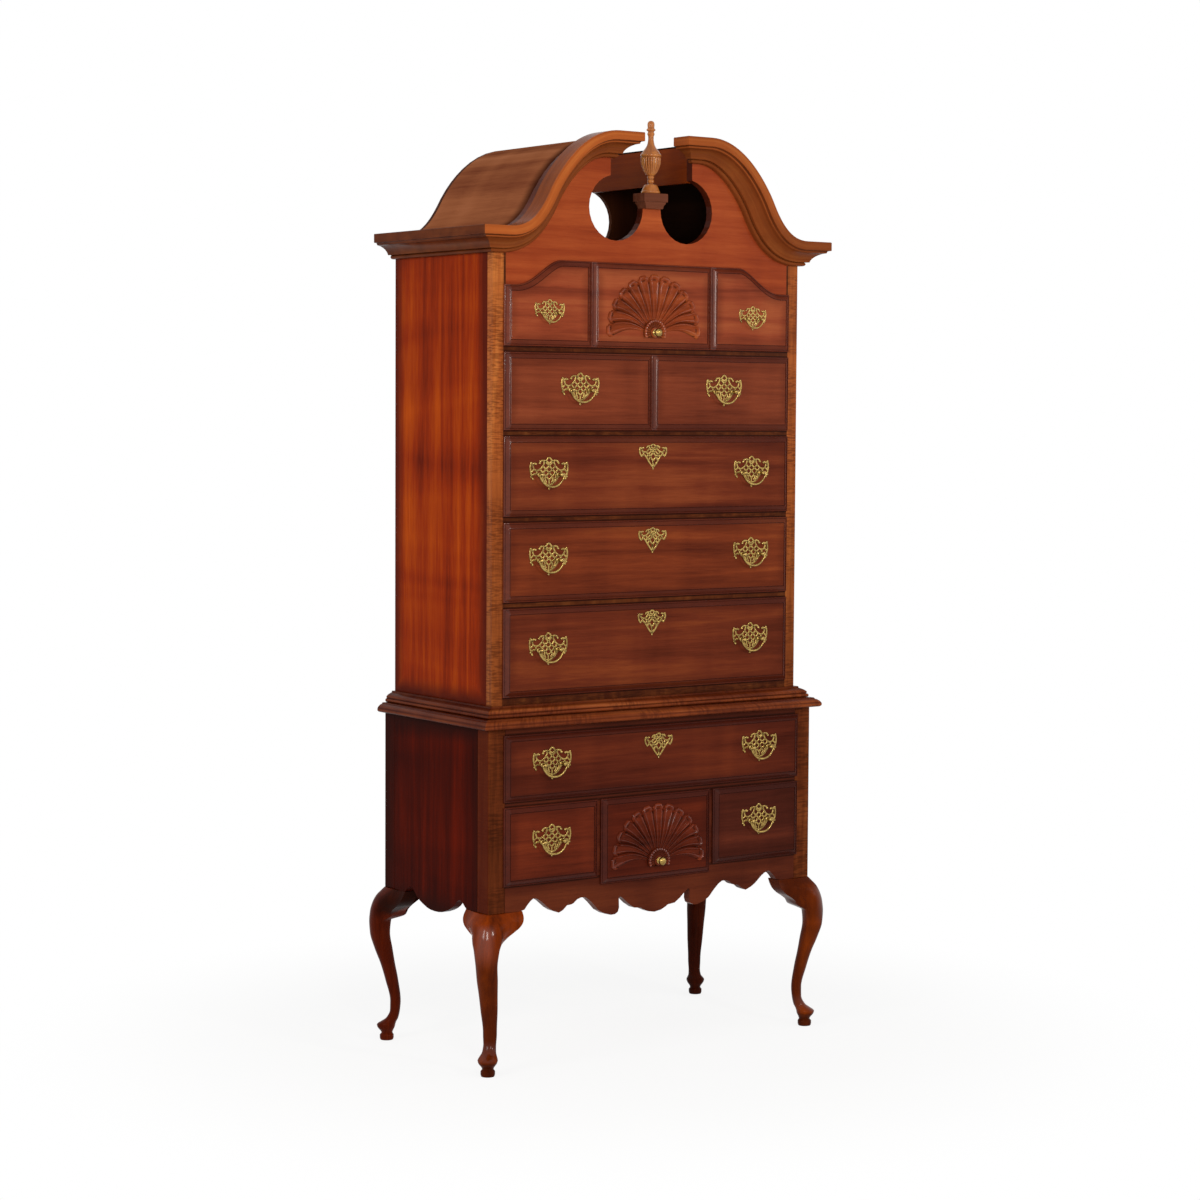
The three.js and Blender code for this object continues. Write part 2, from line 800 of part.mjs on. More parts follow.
// The box behind a front: four walls and a bottom, open at the top
function drawerBox(halfWidth, foot, top) {
  const outer = box(-halfWidth, halfWidth, 0, boxDepth, foot, top);
  const inner = halfWidth - boxWall;
  const back = boxDepth - boxWall;
  const floor = foot + boxBottomLift;
  const room = box(-inner, inner, boxWall, back, floor + boxBottom, top + overrun);
  const under = box(-inner, inner, boxWall, back, foot - overrun, floor);
  return outer.subtract(room).subtract(under);
}

const shellSteps = 4;

// A scalloped fan of rays about the hub, whose outer rays droop below it
function carvedShell(lift, shellRadius) {
  const from = -shellDroop;
  const sweep = straightAngle + shellDroop * 2;
  const count = shellRays * shellSteps;
  const rim = Array.from({ length: count + 1 }, (_, i) => {
    const angle = THREE.MathUtils.degToRad(from + (sweep * i) / count);
    const lobe = Math.abs(Math.sin((Math.PI * i) / shellSteps));
    const radius = shellRadius * (1 - scallopShare * (1 - lobe));
    return [radius * Math.cos(angle), lift + radius * Math.sin(angle)];
  });
  const fan = plate([...rim, [0, lift - hubRadius]], -fieldProud - shellThick, 0);
  const hub = turnedForward(
    [[0, 0], [hubRadius, 0], [hubRadius, fieldProud + shellThick], [knobRadius, fieldProud + hubThick],
      [0, fieldProud + hubThick]],
    hubSides,
  );
  return join(fan, hub.translate([0, 0, lift]));
}

// A front of the given width and height with its box; rise lifts the middle of its top edge.
// A shell fills the field above its lift, less the bare wood over it and beside it.
function drawer({ width, height, rise = 0, valleys = [], shellLift = 0, shellTopGap = 0 }) {
  const side = width * half;
  const topEdge = rise ? topRowEdge(side, height, rise) : [[side, height]];
  const outline = bothSides([[side, 0], ...topEdge.reverse()]);
  const slack = lip + boxSideGap;
  let body = drawerFront(outline);
  for (const x of valleys) body = body.subtract(valley(x, height + rise));
  const inside = inset(outline, slack);
  body = join(body, plate(inside, -lipThick * half, boxWall));
  body = join(body, drawerBox(side - slack, lip + fitGap, height - lip - boxTopGap));
  if (!shellLift) return body;
  const fieldHalf = valleys.length ? valleys.at(-1) - valleyWidth * half : side;
  const room = Math.min(height + rise - shellLift - shellTopGap, fieldHalf - shellSideGap);
  return join(body, carvedShell(shellLift, room));
}

// Hardware: the origin of a pull is on the front's field, level with the bail's pivots

// Right half of the pull's back plate, from its top peak round to its foot tip, in shares of
// the plate's half width and half height
const plateShares = [
  [0, 0.94],
  [0.12, 0.76],
  [0.24, 0.8],
  [0.36, 1],
  [0.52, 0.9],
  [0.46, 0.66],
  [0.62, 0.62],
  [0.84, 0.86],
  [1, 0.7],
  [0.94, 0.36],
  [0.8, 0.2],
  [0.9, -0.02],
  [0.94, -0.26],
  [0.72, -0.2],
  [0.62, -0.42],
  [0.4, -0.7],
  [0.18, -0.82],
  [0, -1],
];

// Right half of the bail from the end of its pintle to its lowest point, in shares of its half
// width beyond the post, and of its drop
const bailShares = [
  [1, -0.08],
  [0.99, -0.32],
  [0.92, -0.58],
  [0.74, -0.82],
  [0.42, -0.97],
  [0, -1],
];
const pullSides = 6;
const rodSides = 6;
const pivotReach = pullPostReach - pullPostRadius;
const postHalf = pullPostSpan * half;

function backPlate() {
  const middle = plateShares.slice(1, -1);
  const shares = [...plateShares, ...middle.map(([x, z]) => [-x, z]).reverse()];
  const outline = edgeOf(shares, plateWidth * half, plateHeight * half);
  const body = plate(outline, -plateThick, 0);
  const stem = turnedForward(
    [[0, 0], [pullPostRadius, 0], [pullPostRadius, pullPostReach], [0, pullPostReach]],
    pullSides,
  ).translate([postHalf, 0, 0]);
  const bore = tube([[postHalf - overrun, 0], [postHalf + pullPostRadius + overrun, 0]],
    bailRadius + pintleClear, pullSides).translate([0, -pivotReach, 0]);
  const post = stem.subtract(bore);
  return join(body, post, mirrored(post));
}

function bail() {
  const outer = postHalf + pullPostRadius + bailRadius + pintleClear;
  const pintle = [[postHalf + pullPostRadius - pintleLength, 0], [outer - bailRadius, 0]];
  const drop = bailShares.map(([x, z]) => [x * outer, z * bailDrop]);
  const right = [...pintle, ...drop];
  const left = right.slice(0, -1).map(([x, z]) => [-x, z]).reverse();
  return tube([...right, ...left], bailRadius, rodSides).translate([0, -pivotReach, 0]);
}

const knobShares = [
  [0, 0],
  [0.7, 0],
  [0.45, 0.12],
  [0.4, 0.4],
  [0.82, 0.52],
  [1, 0.7],
  [0.82, 0.9],
  [0.4, 1],
  [0, 1],
];
const knobSides = 12;
const knob = () => turnedForward(edgeOf(knobShares, knobRadius, knobReach), knobSides);

// The drawers and what each one carries. Pull heights are shares of the height of the front.
const wideUpper = upperOpenHalf * 2 + lip * 2;
const sideFrontWidth = openHalf + lip - sideFrontInner;
const sideFrontX = sideFrontInner + sideFrontWidth * half;
const pullHeightShare = 0.52;
const lowerPullHeightShare = 0.53;
const topPullHeightShare = 0.55;
const pair = (x) => [-x, x];
const lowerPullX = openHalf + lip - lowerPullInset;
const upperRow = (row, more) => ({
  width: wideUpper,
  height: upperRowHeights[row],
  x: 0,
  y: upperSetback,
  z: upperRowFeet[row],
  pulls: pair(wideUpper * half - upperPullInset),
  pullShare: pullHeightShare,
  ...more,
});
const lowerRow = (more) => ({
  y: 0,
  z: lowerRowFoot,
  height: lowerRowHeight,
  pullShare: lowerPullHeightShare,
  ...more,
});
const drawers = {
  drawer_top_shell: upperRow(4, {
    rise: topRowRise,
    valleys: pair(topValleyX),
    shellLift: upperShellLift,
    shellTopGap: upperShellTopGap,
    pullScale: smallPullShare,
    pullShare: topPullHeightShare,
  }),
  drawer_upper_2: upperRow(3, { valleys: [0], pulls: pair(wideUpper * half * pairPullShare) }),
  drawer_upper_3: upperRow(2),
  drawer_upper_4: upperRow(1),
  drawer_upper_5: upperRow(0),
  drawer_lower_wide: lowerRow({
    width: openHalf * 2 + lip * 2,
    height: wideRowHeight,
    x: 0,
    z: wideRowFoot,
    pulls: pair(lowerPullX),
  }),
  drawer_lower_left: lowerRow({ width: sideFrontWidth, x: -sideFrontX, pulls: [-lowerPullX] }),
  drawer_lower_shell: lowerRow({
    width: shellFrontWidth,
    height: lowerRowHeight + shellDrawerDrop,
    x: 0,
    z: lowerRowFoot - shellDrawerDrop,
    pulls: [],
    shellLift: lowerShellLift,
    shellTopGap: lowerShellTopGap,
  }),
  drawer_lower_right: lowerRow({ width: sideFrontWidth, x: sideFrontX, pulls: [lowerPullX] }),
};

function drawerGroup(name, spec) {
  const group = new THREE.Group();
  group.position.set(spec.x, spec.y, spec.z);
  group.add(piece(name, drawer(spec), looks.drawer));
  const sides = spec.pulls.length > 1 ? ['_left', '_right'] : [''];
  spec.pulls.forEach((x, i) => {
    const pull = new THREE.Group();
    pull.position.set(x - spec.x, -fieldProud, spec.height * spec.pullShare);
    pull.scale.setScalar(spec.pullScale ?? 1);
    const label = name.replace('drawer_', '') + sides[i];
    pull.add(piece(`pull_plate_${label}`, backPlate(), looks.brass));
    pull.add(piece(`bail_${label}`, bail(), looks.brass));
    group.add(pull);
  });
  if (spec.shellLift) {
    const mesh = piece(name.replace('drawer_', 'knob_'), knob(), looks.brass);
    mesh.position.set(0, -fieldProud - hubThick, spec.shellLift);
    group.add(mesh);
  }
  return group;
}

// Assembly
const highboy = new THREE.Group();

const lowerCase = new THREE.Group();
const leg = cabrioleLeg();
const lowerSide = baseSide();
lowerCase.add(
  piece('leg_front_left', mirrored(leg), looks.leg),
  piece('leg_front_right', leg, looks.leg),
  piece('leg_back_left', toBack(mirrored(leg)), looks.leg),
  piece('leg_back_right', toBack(leg), looks.leg),
  piece('base_side_left', mirrored(lowerSide), looks.case),
  piece('base_side_right', lowerSide, looks.case),
  piece('base_back', baseBack(), looks.dark),
  piece('base_frame', baseFrame(), looks.case),
  piece('waist_board', waistBoard(), looks.case),
);

const upperCase = new THREE.Group();
const caseSide = upperSide();
const roofHalf = bonnetRoof();
const crownHalf = crown();
const plinthPiece = piece('finial_plinth', plinth(), looks.dark);
plinthPiece.position.set(0, plinthY, postTop);
const finialPiece = piece('finial', finial(), looks.finial);
finialPiece.position.set(0, plinthY, postTop + plinthHeight);
upperCase.add(
  piece('upper_base_board', upperBase(), looks.case),
  piece('upper_side_left', mirrored(caseSide), looks.crown),
  piece('upper_side_right', caseSide, looks.crown),
  piece('upper_back', upperBack(), looks.dark),
  piece('upper_frame', upperFrame(), looks.crown),
  piece('scroll_board', scrollBoard(), looks.case),
  piece('bonnet_roof_left', mirrored(roofHalf), looks.case),
  piece('bonnet_roof_right', roofHalf, looks.case),
  piece('crown_left', mirrored(crownHalf), looks.crown),
  piece('crown_right', crownHalf, looks.crown),
  plinthPiece,
  finialPiece,
);

highboy.add(lowerCase, upperCase);
for (const [name, spec] of Object.entries(drawers)) highboy.add(drawerGroup(name, spec));

// The floor under the middle of the outer box is the origin, to the nearest originStep in depth,
// so that faces which touch stay flush
const originStep = 0.125;
const outerBox = new THREE.Box3().setFromObject(highboy);
const middle = (outerBox.min.y + outerBox.max.y) * half;
highboy.position.y = -Math.round(middle / originStep) * originStep;

export default highboy;
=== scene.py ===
import math

import bmesh
import bpy
import numpy
from mathutils import Matrix, Vector


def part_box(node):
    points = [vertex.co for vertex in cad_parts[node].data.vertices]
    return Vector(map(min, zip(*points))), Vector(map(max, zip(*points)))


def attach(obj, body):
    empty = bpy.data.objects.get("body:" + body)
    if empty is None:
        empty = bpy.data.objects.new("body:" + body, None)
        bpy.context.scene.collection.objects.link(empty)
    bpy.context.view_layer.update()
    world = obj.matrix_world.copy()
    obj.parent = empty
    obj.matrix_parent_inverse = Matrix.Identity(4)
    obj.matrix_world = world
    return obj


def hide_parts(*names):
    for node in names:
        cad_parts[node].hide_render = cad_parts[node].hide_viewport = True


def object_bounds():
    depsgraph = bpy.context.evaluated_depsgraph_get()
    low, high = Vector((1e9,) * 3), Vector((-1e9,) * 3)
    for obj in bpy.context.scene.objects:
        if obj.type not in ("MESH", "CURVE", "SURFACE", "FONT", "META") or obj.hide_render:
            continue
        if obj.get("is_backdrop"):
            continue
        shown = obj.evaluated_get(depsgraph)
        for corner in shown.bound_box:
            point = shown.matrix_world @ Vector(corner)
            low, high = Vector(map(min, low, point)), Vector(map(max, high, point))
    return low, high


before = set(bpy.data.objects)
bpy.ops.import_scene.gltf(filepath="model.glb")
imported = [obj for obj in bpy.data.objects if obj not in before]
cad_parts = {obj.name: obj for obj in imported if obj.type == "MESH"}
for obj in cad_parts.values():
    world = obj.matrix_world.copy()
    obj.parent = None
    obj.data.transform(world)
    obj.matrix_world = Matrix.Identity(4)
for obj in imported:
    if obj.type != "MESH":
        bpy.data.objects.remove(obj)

cad_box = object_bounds()

# The studio
# A white room with a pale floor. One tall soft lamp stands in front and to the left and a small
# bright one in front, two more light the left and the right, and the camera is a long lens at
# chest height, turned to the front corner.

camera_place = Vector((-3.7639, -5.4041, 1.4999))
yaw, pitch, roll = (math.radians(turn) for turn in (36.51, -3.49, 0.43))
focal_pixels = 2770.5
picture_size = 1200
principal = (681.9, 576.8)
sensor = 36


def stand(name, data):
    """A new object in the scene."""
    made = bpy.data.objects.new(name, data)
    bpy.context.scene.collection.objects.link(made)
    return made


ahead = Vector((math.sin(yaw) * math.cos(pitch), math.cos(yaw) * math.cos(pitch), math.sin(pitch)))
level_right = Vector((math.cos(yaw), -math.sin(yaw), 0))
right = level_right * math.cos(roll) + level_right.cross(ahead) * math.sin(roll)
lens = bpy.data.cameras.new("photograph")
lens.sensor_width = sensor
lens.lens = focal_pixels / picture_size * sensor
lens.shift_x = 0.5 - principal[0] / picture_size
lens.shift_y = principal[1] / picture_size - 0.5
lens.clip_end = 60
camera = stand("photograph", lens)
turned_to = Matrix((right, right.cross(ahead), -ahead)).transposed()
camera.matrix_world = Matrix.Translation(camera_place) @ turned_to.to_4x4()
bpy.context.scene.camera = camera
bpy.context.scene.view_settings.view_transform = "Standard"


class Wire:
    """An output of a node. Arithmetic on it adds Math nodes to its tree."""

    def __init__(self, recipe, socket):
        self.recipe = recipe
        self.socket = socket

    def __add__(self, other):
        return self.recipe.math("ADD", self, other)

    def __sub__(self, other):
        return self.recipe.math("SUBTRACT", self, other)

    def __rsub__(self, other):
        return self.recipe.math("SUBTRACT", other, self)

    def __mul__(self, other):
        return self.recipe.math("MULTIPLY", self, other)

    def __truediv__(self, other):
        return self.recipe.math("DIVIDE", self, other)

    def __pow__(self, other):
        return self.recipe.math("POWER", self, other)

    __radd__ = __add__
    __rmul__ = __mul__

    def least(self, other):
        return self.recipe.math("MINIMUM", self, other)

    def most(self, other):
        return self.recipe.math("MAXIMUM", self, other)

    def absolute(self):
        return self.recipe.math("ABSOLUTE", self)

    def rise(self, low, high):
        """0 below low, 1 above high, and a smooth step between them."""
        return self.recipe.node("ShaderNodeMapRange", {0: self, 1: low, 2: high, 3: 0.0, 4: 1.0},
                                interpolation_type="SMOOTHSTEP")

    def fall(self, low, high):
        return 1 - self.rise(low, high)

    def at(self, level, near, far):
        """1 within near of a level, 0 past far of it."""
        return (self - level).absolute().fall(near, far)


class Recipe:
    """The nodes of one finish, sky or shape."""

    def __init__(self, tree):
        self.tree = tree
        tree.nodes.clear()

    def node(self, kind, sockets=None, out=0, **settings):
        """A new node with its settings, then with the values or wires of its sockets. A list of
        wires all go into one socket."""
        made = self.tree.nodes.new(kind)
        for name, value in settings.items():
            if name == "stops":
                ramp = made.color_ramp
                while len(ramp.elements) < len(value):
                    ramp.elements.new(0.5)
                for element, (place, tone) in zip(ramp.elements, value):
                    element.position = place
                    element.color = tone
            else:
                setattr(made, name, value)
        for key, value in (sockets or {}).items():
            wires = value if isinstance(value, list) else [value]
            if isinstance(wires[0], Wire):
                for wire in wires:
                    self.tree.links.new(wire.socket, made.inputs[key])
            else:
                made.inputs[key].default_value = value
        return Wire(self, made.outputs[out]) if made.outputs else None

    def math(self, operation, *values):
        return self.node("ShaderNodeMath", dict(enumerate(values)), operation=operation)

    def vector(self, operation, first, second):
        share = "Scale" if operation == "SCALE" else 1
        return self.node("ShaderNodeVectorMath", {0: first, share: second}, operation=operation)

    def blend(self, factor, first, second):
        return self.node("ShaderNodeMix", {0: factor, 6: first, 7: second}, 2, data_type="RGBA")

    def noise(self, where, scale, detail, warp=0.0, rough=0.5):
        return self.node("ShaderNodeTexNoise", {"Vector": where, "Scale": scale, "Detail": detail,
                                                "Distortion": warp, "Roughness": rough})

    def place(self):
        """The place on the object."""
        return self.node("ShaderNodeTexCoord", out=3)

    def carried(self, name):
        """A vector that the mesh carries."""
        return self.node("ShaderNodeAttribute", out=1, attribute_name=name)

    def parts(self, vector):
        """The three numbers of a vector."""
        split = self.node("ShaderNodeSeparateXYZ", {0: vector})
        return [Wire(self, output) for output in split.socket.node.outputs]

    def store(self, shape, name, vector):
        return self.node("GeometryNodeStoreNamedAttribute",
                         {"Geometry": shape, "Name": name, "Value": vector},
                         data_type="FLOAT_VECTOR", domain="POINT")


def colour(code, share=1):
    """A colour written as six hexadecimal digits, or a darker share of it, as linear light."""
    levels = [int(code[i:i + 2], 16) / 255 for i in (0, 2, 4)]
    light = [v / 12.92 if v <= 0.04045 else ((v + 0.055) / 1.055) ** 2.4 for v in levels]
    return (*(v * share for v in light), 1)


def blank(name):
    """A new finish, and the recipe of its nodes."""
    made = bpy.data.materials.new(name)
    made.use_nodes = True
    return made, Recipe(made.node_tree)


white = (1, 1, 1, 1)
sky_level = 0.5
world = bpy.data.worlds.new("white room")
world.use_nodes = True
bpy.context.scene.world = world
sky = Recipe(world.node_tree)
seen, glossy, through = (sky.node("ShaderNodeLightPath", out=kind) for kind in (0, 3, 6))
plain, bright = (sky.node("ShaderNodeBackground", {0: white, 1: level}) for level in (sky_level, 1.0))
shown = sky.node("ShaderNodeMixShader", {0: seen.most(glossy).most(through), 1: plain, 2: bright})
sky.node("ShaderNodeOutputWorld", {0: shown})

floor_reach = 9
floor_level = -0.0005
shadow_radius = (0.6, 1.5)
shadow_share = 0.14
floor_mesh = bpy.data.meshes.new("floor")
floor_mesh.from_pydata([(x * floor_reach, y * floor_reach, floor_level)
                        for x, y in ((-1, -1), (1, -1), (1, 1), (-1, 1))], [], [(0, 1, 2, 3)])
floor = stand("floor", floor_mesh)
floor_finish, ground = blank("pale floor")
spot = ground.place()
far = ground.node("ShaderNodeVectorMath", {0: spot}, 1, operation="LENGTH")
pale = ground.blend(ground.noise(spot, 3.0, 4.0), colour("f4f3f1"), colour("fbfaf8"))
matt = ground.node("ShaderNodeBsdfDiffuse", {0: pale})
glow = ground.node("ShaderNodeEmission", {0: white, 1: 1.0})
seen, glossy = (ground.node("ShaderNodeLightPath", out=kind) for kind in (0, 3))
lit = seen.most(glossy) * (1 - far.fall(*shadow_radius) * shadow_share)
ground.node("ShaderNodeOutputMaterial", {
    0: ground.node("ShaderNodeMixShader", {0: lit, 1: matt, 2: glow})})
floor_mesh.materials.append(floor_finish)
floor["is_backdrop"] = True

for name, place, towards, wide, high, power, tint in (
        ("front lamp", (-1.75, -3.2, 2.15), (0, -0.2, 1.3), 0.6, 1.3, 33, (1.0, 0.97, 0.93)),
        ("small lamp", (0.7, -4.7, 2.8), (0, -0.2, 1.1), 0.22, 0.6, 42, (1.0, 0.98, 0.95)),
        ("left lamp", (-3.9, -0.9, 2.5), (0, 0, 1.25), 1.3, 1.6, 48, (1.0, 0.98, 0.95)),
        ("right lamp", (3.2, -3.2, 2.2), (0, 0, 1.1), 1.6, 1.6, 14, (0.97, 0.98, 1.0))):
    light = bpy.data.lights.new(name, "AREA")
    light.shape = "RECTANGLE"
    light.size = wide
    light.size_y = high
    light.energy = power
    light.color = tint
    facing = (Vector(place) - Vector(towards)).to_track_quat("Z", "Y")
    stand(name, light).matrix_world = Matrix.Translation(place) @ facing.to_matrix().to_4x4()

# The cases' boards
# Stained cherry and maple boards under a satin lacquer: upright sides, a frame with curly stiles,
# and plain ply backs, glued up square. The sides are darker towards their edges, and painted
# shade lies along the lips of the fronts, low on the stiles and on the scroll board's edges.

grain_axes = {"x": (0.05, 1.0, 1.0), "y": (1.0, 0.05, 1.0), "z": (1.0, 1.0, 0.05)}
across_axes = {"x": (1.0, 0.14, 0.14), "y": (0.14, 1.0, 0.14), "z": (0.14, 0.14, 1.0)}


def timber(name, tones, grain, seed=0.0, source=None, broad=13.0, contrast=1.0, curl=0.0,
           curl_scale=150.0, shade=None, shade_tone=None, gloss=0.3, lacquer=0.02, sheen=0.035,
           shine=None):
    """A wood finish. tones runs from its darkest streak to its lightest. shade is a function that
    gives, from the recipe and the three numbers of the place, how far shade_tone reaches there,
    a darker stain in some finishes and painted shade in others, and shine one that gives how much
    thicker the lacquer is."""
    made, wood = blank(name)
    place = wood.carried(source) if source else wood.place()
    shift = (seed * 1.37, seed * 0.71, seed * 2.13)
    along, level = (wood.node("ShaderNodeMapping", {0: place, 1: shift, 3: axes[grain]})
                    for axes in (grain_axes, across_axes))
    streaks = wood.noise(along, broad * 5.3, 4.0, 0.3, 0.6)
    fibres = wood.noise(along, broad * 26, 3.0)
    pores = wood.noise(along, broad * 60, 2.0).rise(0.58, 0.72)
    mixed = (wood.noise(along, broad, 4.0, 0.9, 0.55) * 0.48 + streaks * 0.18 + fibres * 0.1
             + wood.noise(level, 7.0, 2.0, 0.5) * 0.24)
    dark, middle, light = tones
    stain = wood.node("ShaderNodeValToRGB", {0: (mixed - 0.5) * contrast + 0.5}, stops=[
        (0.33, colour(dark)), (0.5, colour(middle)), (0.68, colour(light))])
    stain = wood.blend(pores * 0.22, stain, colour(dark, 0.5))
    if curl:
        ripple = wood.noise(level, curl_scale, 2.0, 0.2).rise(0.4, 0.62)
        patch = wood.noise(level, 9.0, 2.0, 1.0).rise(0.3, 0.62)
        stain = wood.blend(ripple * patch * curl, stain, colour(dark, 0.55))
    if shade:
        cloud = wood.noise(place, 22.0, 2.0) * 0.5 + 0.75
        reach = shade(wood, *wood.parts(place)) * cloud
        stain = wood.blend(reach.least(1.0), stain, colour(shade_tone))
    bump = wood.node("ShaderNodeBump", {
        "Strength": 0.12, "Distance": 0.0004, "Height": fibres * 0.6 + pores * -0.5 + streaks * 0.4})
    surface = wood.node("ShaderNodeBsdfPrincipled", {
        "Base Color": stain, "Roughness": gloss + (streaks - 0.5) * 0.18 + pores * 0.1,
        "Specular IOR Level": sheen, "Specular Tint": (1.0, 0.72, 0.52, 1.0), "Normal": bump,
        "Coat Weight": shine(wood, *wood.parts(place)) + lacquer if shine else lacquer,
        "Coat Roughness": 0.14})
    wood.node("ShaderNodeOutputMaterial", {0: surface})
    return made


def near_edges(box, axes, reach):
    """How near a place is to the edges of a box along two axes: 1 at them, 0 past reach."""
    def shade(wood, *place):
        first, second = ((place[axis] - box[0][axis]).least(box[1][axis] - place[axis])
                         for axis in axes)
        return first.least(second).fall(0.0, reach)
    return shade


def dress(finish, *nodes):
    """Gives CAD nodes' own meshes a finish."""
    for node in nodes:
        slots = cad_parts[node].data.materials
        slots.clear()
        slots.append(finish)


side_wood = timber("upper side cherry", ("510f02", "892904", "ad4608"), "z", 1.0, broad=17.0,
                   contrast=1.25, gloss=0.24, lacquer=0.0, sheen=0.015, shade_tone="511505",
                   shade=near_edges(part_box("upper_side_left"), (1, 2), 0.05))
lower_wood = timber("lower side cherry", ("240301", "420a01", "5f1301"), "z", 4.0, broad=15.0,
                    contrast=1.2, gloss=0.24, lacquer=0.0, sheen=0.01, shade_tone="2a0904",
                    shade=near_edges(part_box("base_side_left"), (1, 2), 0.06))
back_wood = timber("back ply", ("2b130b", "43200f", "5a2f18"), "z", 7.0, broad=9.0, gloss=0.55,
                   lacquer=0.0)
dress(side_wood, "upper_side_left", "upper_side_right")
dress(lower_wood, "base_side_left", "base_side_right")
dress(back_wood, "base_back", "upper_back")
stile_edge = 0.4045
# The levels of the fronts' lips, where painted shadow lines lie on the rails and the apron.
upper_lip_shadow_levels = [corner[2] for label in ("upper_2", "upper_3", "upper_4", "upper_5")
              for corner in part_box(f"drawer_{label}")] + [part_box("drawer_top_shell")[0][2]]
lower_lip_shadow_levels = [corner[2] for label in ("lower_wide", "lower_left")
             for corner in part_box(f"drawer_{label}")]


def rail_stain_and_shadows(wood, x, y, z):
    """The dark stain of the rails between the two stiles, painted shadow along the fronts' lips, and
    painted shade on the stiles towards their foot."""
    along = wood.node("ShaderNodeMapping", {0: wood.place(), 3: grain_axes["x"]})
    lines = sum(z.at(level, 0.0015, 0.0035) for level in upper_lip_shadow_levels)
    rails = x.absolute().fall(stile_edge, stile_edge + 0.0006) * (
        0.72 + wood.noise(along, 90.0, 4.0) * 0.2 + lines * 0.4)
    return rails.most(z.fall(0.9, 1.45) * 0.35)


def lower_lip_shadows(wood, x, y, z):
    """Painted shadow along the lips of the lower fronts."""
    return sum(z.at(level, 0.002, 0.005) for level in lower_lip_shadow_levels) * 0.7


def behind(depth):
    """Painted shade on all that lies further back than a depth."""
    def shade(wood, x, y, z):
        return y.rise(depth, depth + 0.001) * 0.85
    return shade


frame_wood = timber("curly maple", ("60260f", "a05325", "c57538"), "z", 2.0, broad=30.0,
                    curl=0.6, curl_scale=330.0, shade=rail_stain_and_shadows, shade_tone="2e0f07")
apron_wood = timber("apron cherry", ("310f09", "502012", "6a301a"), "x", 5.0, broad=16.0,
                    shade=lower_lip_shadows, shade_tone="1c0804")
# The scroll board's top edge and the insides of its round openings are in painted shade.
scroll_wood = timber("scroll board cherry", ("682110", "913c1d", "b1552a"), "x", 3.0, broad=16.0,
                     shade=behind(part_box("scroll_board")[0][1] + 0.0006), shade_tone="351008")
dress(frame_wood, "upper_frame")
dress(apron_wood, "base_frame")
dress(scroll_wood, "scroll_board")

# The legs
# Four cabriole legs, each carved from one stick of cherry: a squared post that carries the case,
# a knee with two wings, a slim ankle and a slipper foot on a turned disc.

front_plane = -221.625
post_size = 45
lower_half = 460
lower_depth = 452
leg_height = 365
lower_top = 781
knee_girth = 54
wing_reach = 92
wing_thick = 40
post_chamfer = 1.2
both_sides = (("right", 1), ("left", -1))

# Share of the height, centre, half depth, half width, squareness, wing and how far it stands proud
leg_levels = [
    (0, -0.09, 0.275, 0.275, 2, 0, 0),
    (0.014, -0.09, 0.305, 0.305, 2, 0, 0),
    (0.032, -0.09, 0.305, 0.305, 2, 0, 0),
    (0.044, -0.1, 0.24, 0.24, 2, 0, 0),
    (0.085, -0.06, 0.385, 0.4, 2, 0, 0),
    (0.099, -0.06, 0.405, 0.425, 2, 0, 0),
    (0.115, -0.15, 0.35, 0.38, 2, 0, 0),
    (0.142, -0.33, 0.265, 0.295, 2, 0, 0),
    (0.197, -0.46, 0.215, 0.275, 2, 0, 0),
    (0.255, -0.48, 0.228, 0.295, 1.9, 0, 0),
    (0.395, -0.31, 0.28, 0.36, 1.8, 0, 0),
    (0.5, -0.13, 0.318, 0.4, 1.75, 0, 0),
    (0.595, 0.055, 0.395, 0.445, 1.7, 0, 0),
    (0.7, 0.22, 0.45, 0.47, 1.6, 0, 0),
    (0.78, 0.213, 0.49, 0.54, 1.6, 0, 0),
    (0.822, 0.15, 0.53, 0.61, 1.6, 0.4, 0.12),
    (0.855, 0.065, 0.58, 0.65, 1.6, 0.52, 0.2),
    (0.882, -0.01, 0.602, 0.66, 1.6, 0.68, 0.24),
    (0.907, -0.088, 0.616, 0.66, 1.55, 0.84, 0.24),
    (0.945, -0.236, 0.616, 0.64, 1.5, 0.97, 0.18),
    (0.975, -0.389, 0.574, 0.6, 1.4, 1, 0.09),
    (1, -0.514, 0.523, 0.56, 1.3, 1, 0),
]
ridge_angles = range(0, 101, 5)
wing_stations = [100, 113, 126, 139, 155, 180]
station_steps = 4
knee_end = 8
swept_steps = len(ridge_angles) - knee_end - 1 + station_steps
wing_blend = 0.6
level_gap = 3.0


def bezier(t, a, b, c, d):
    """The place at t on a Bezier curve."""
    return tuple((1 - t) ** 3 * p + 3 * (1 - t) ** 2 * t * q + 3 * (1 - t) * t * t * r + t ** 3 * s
                 for p, q, r, s in zip(a, b, c, d))


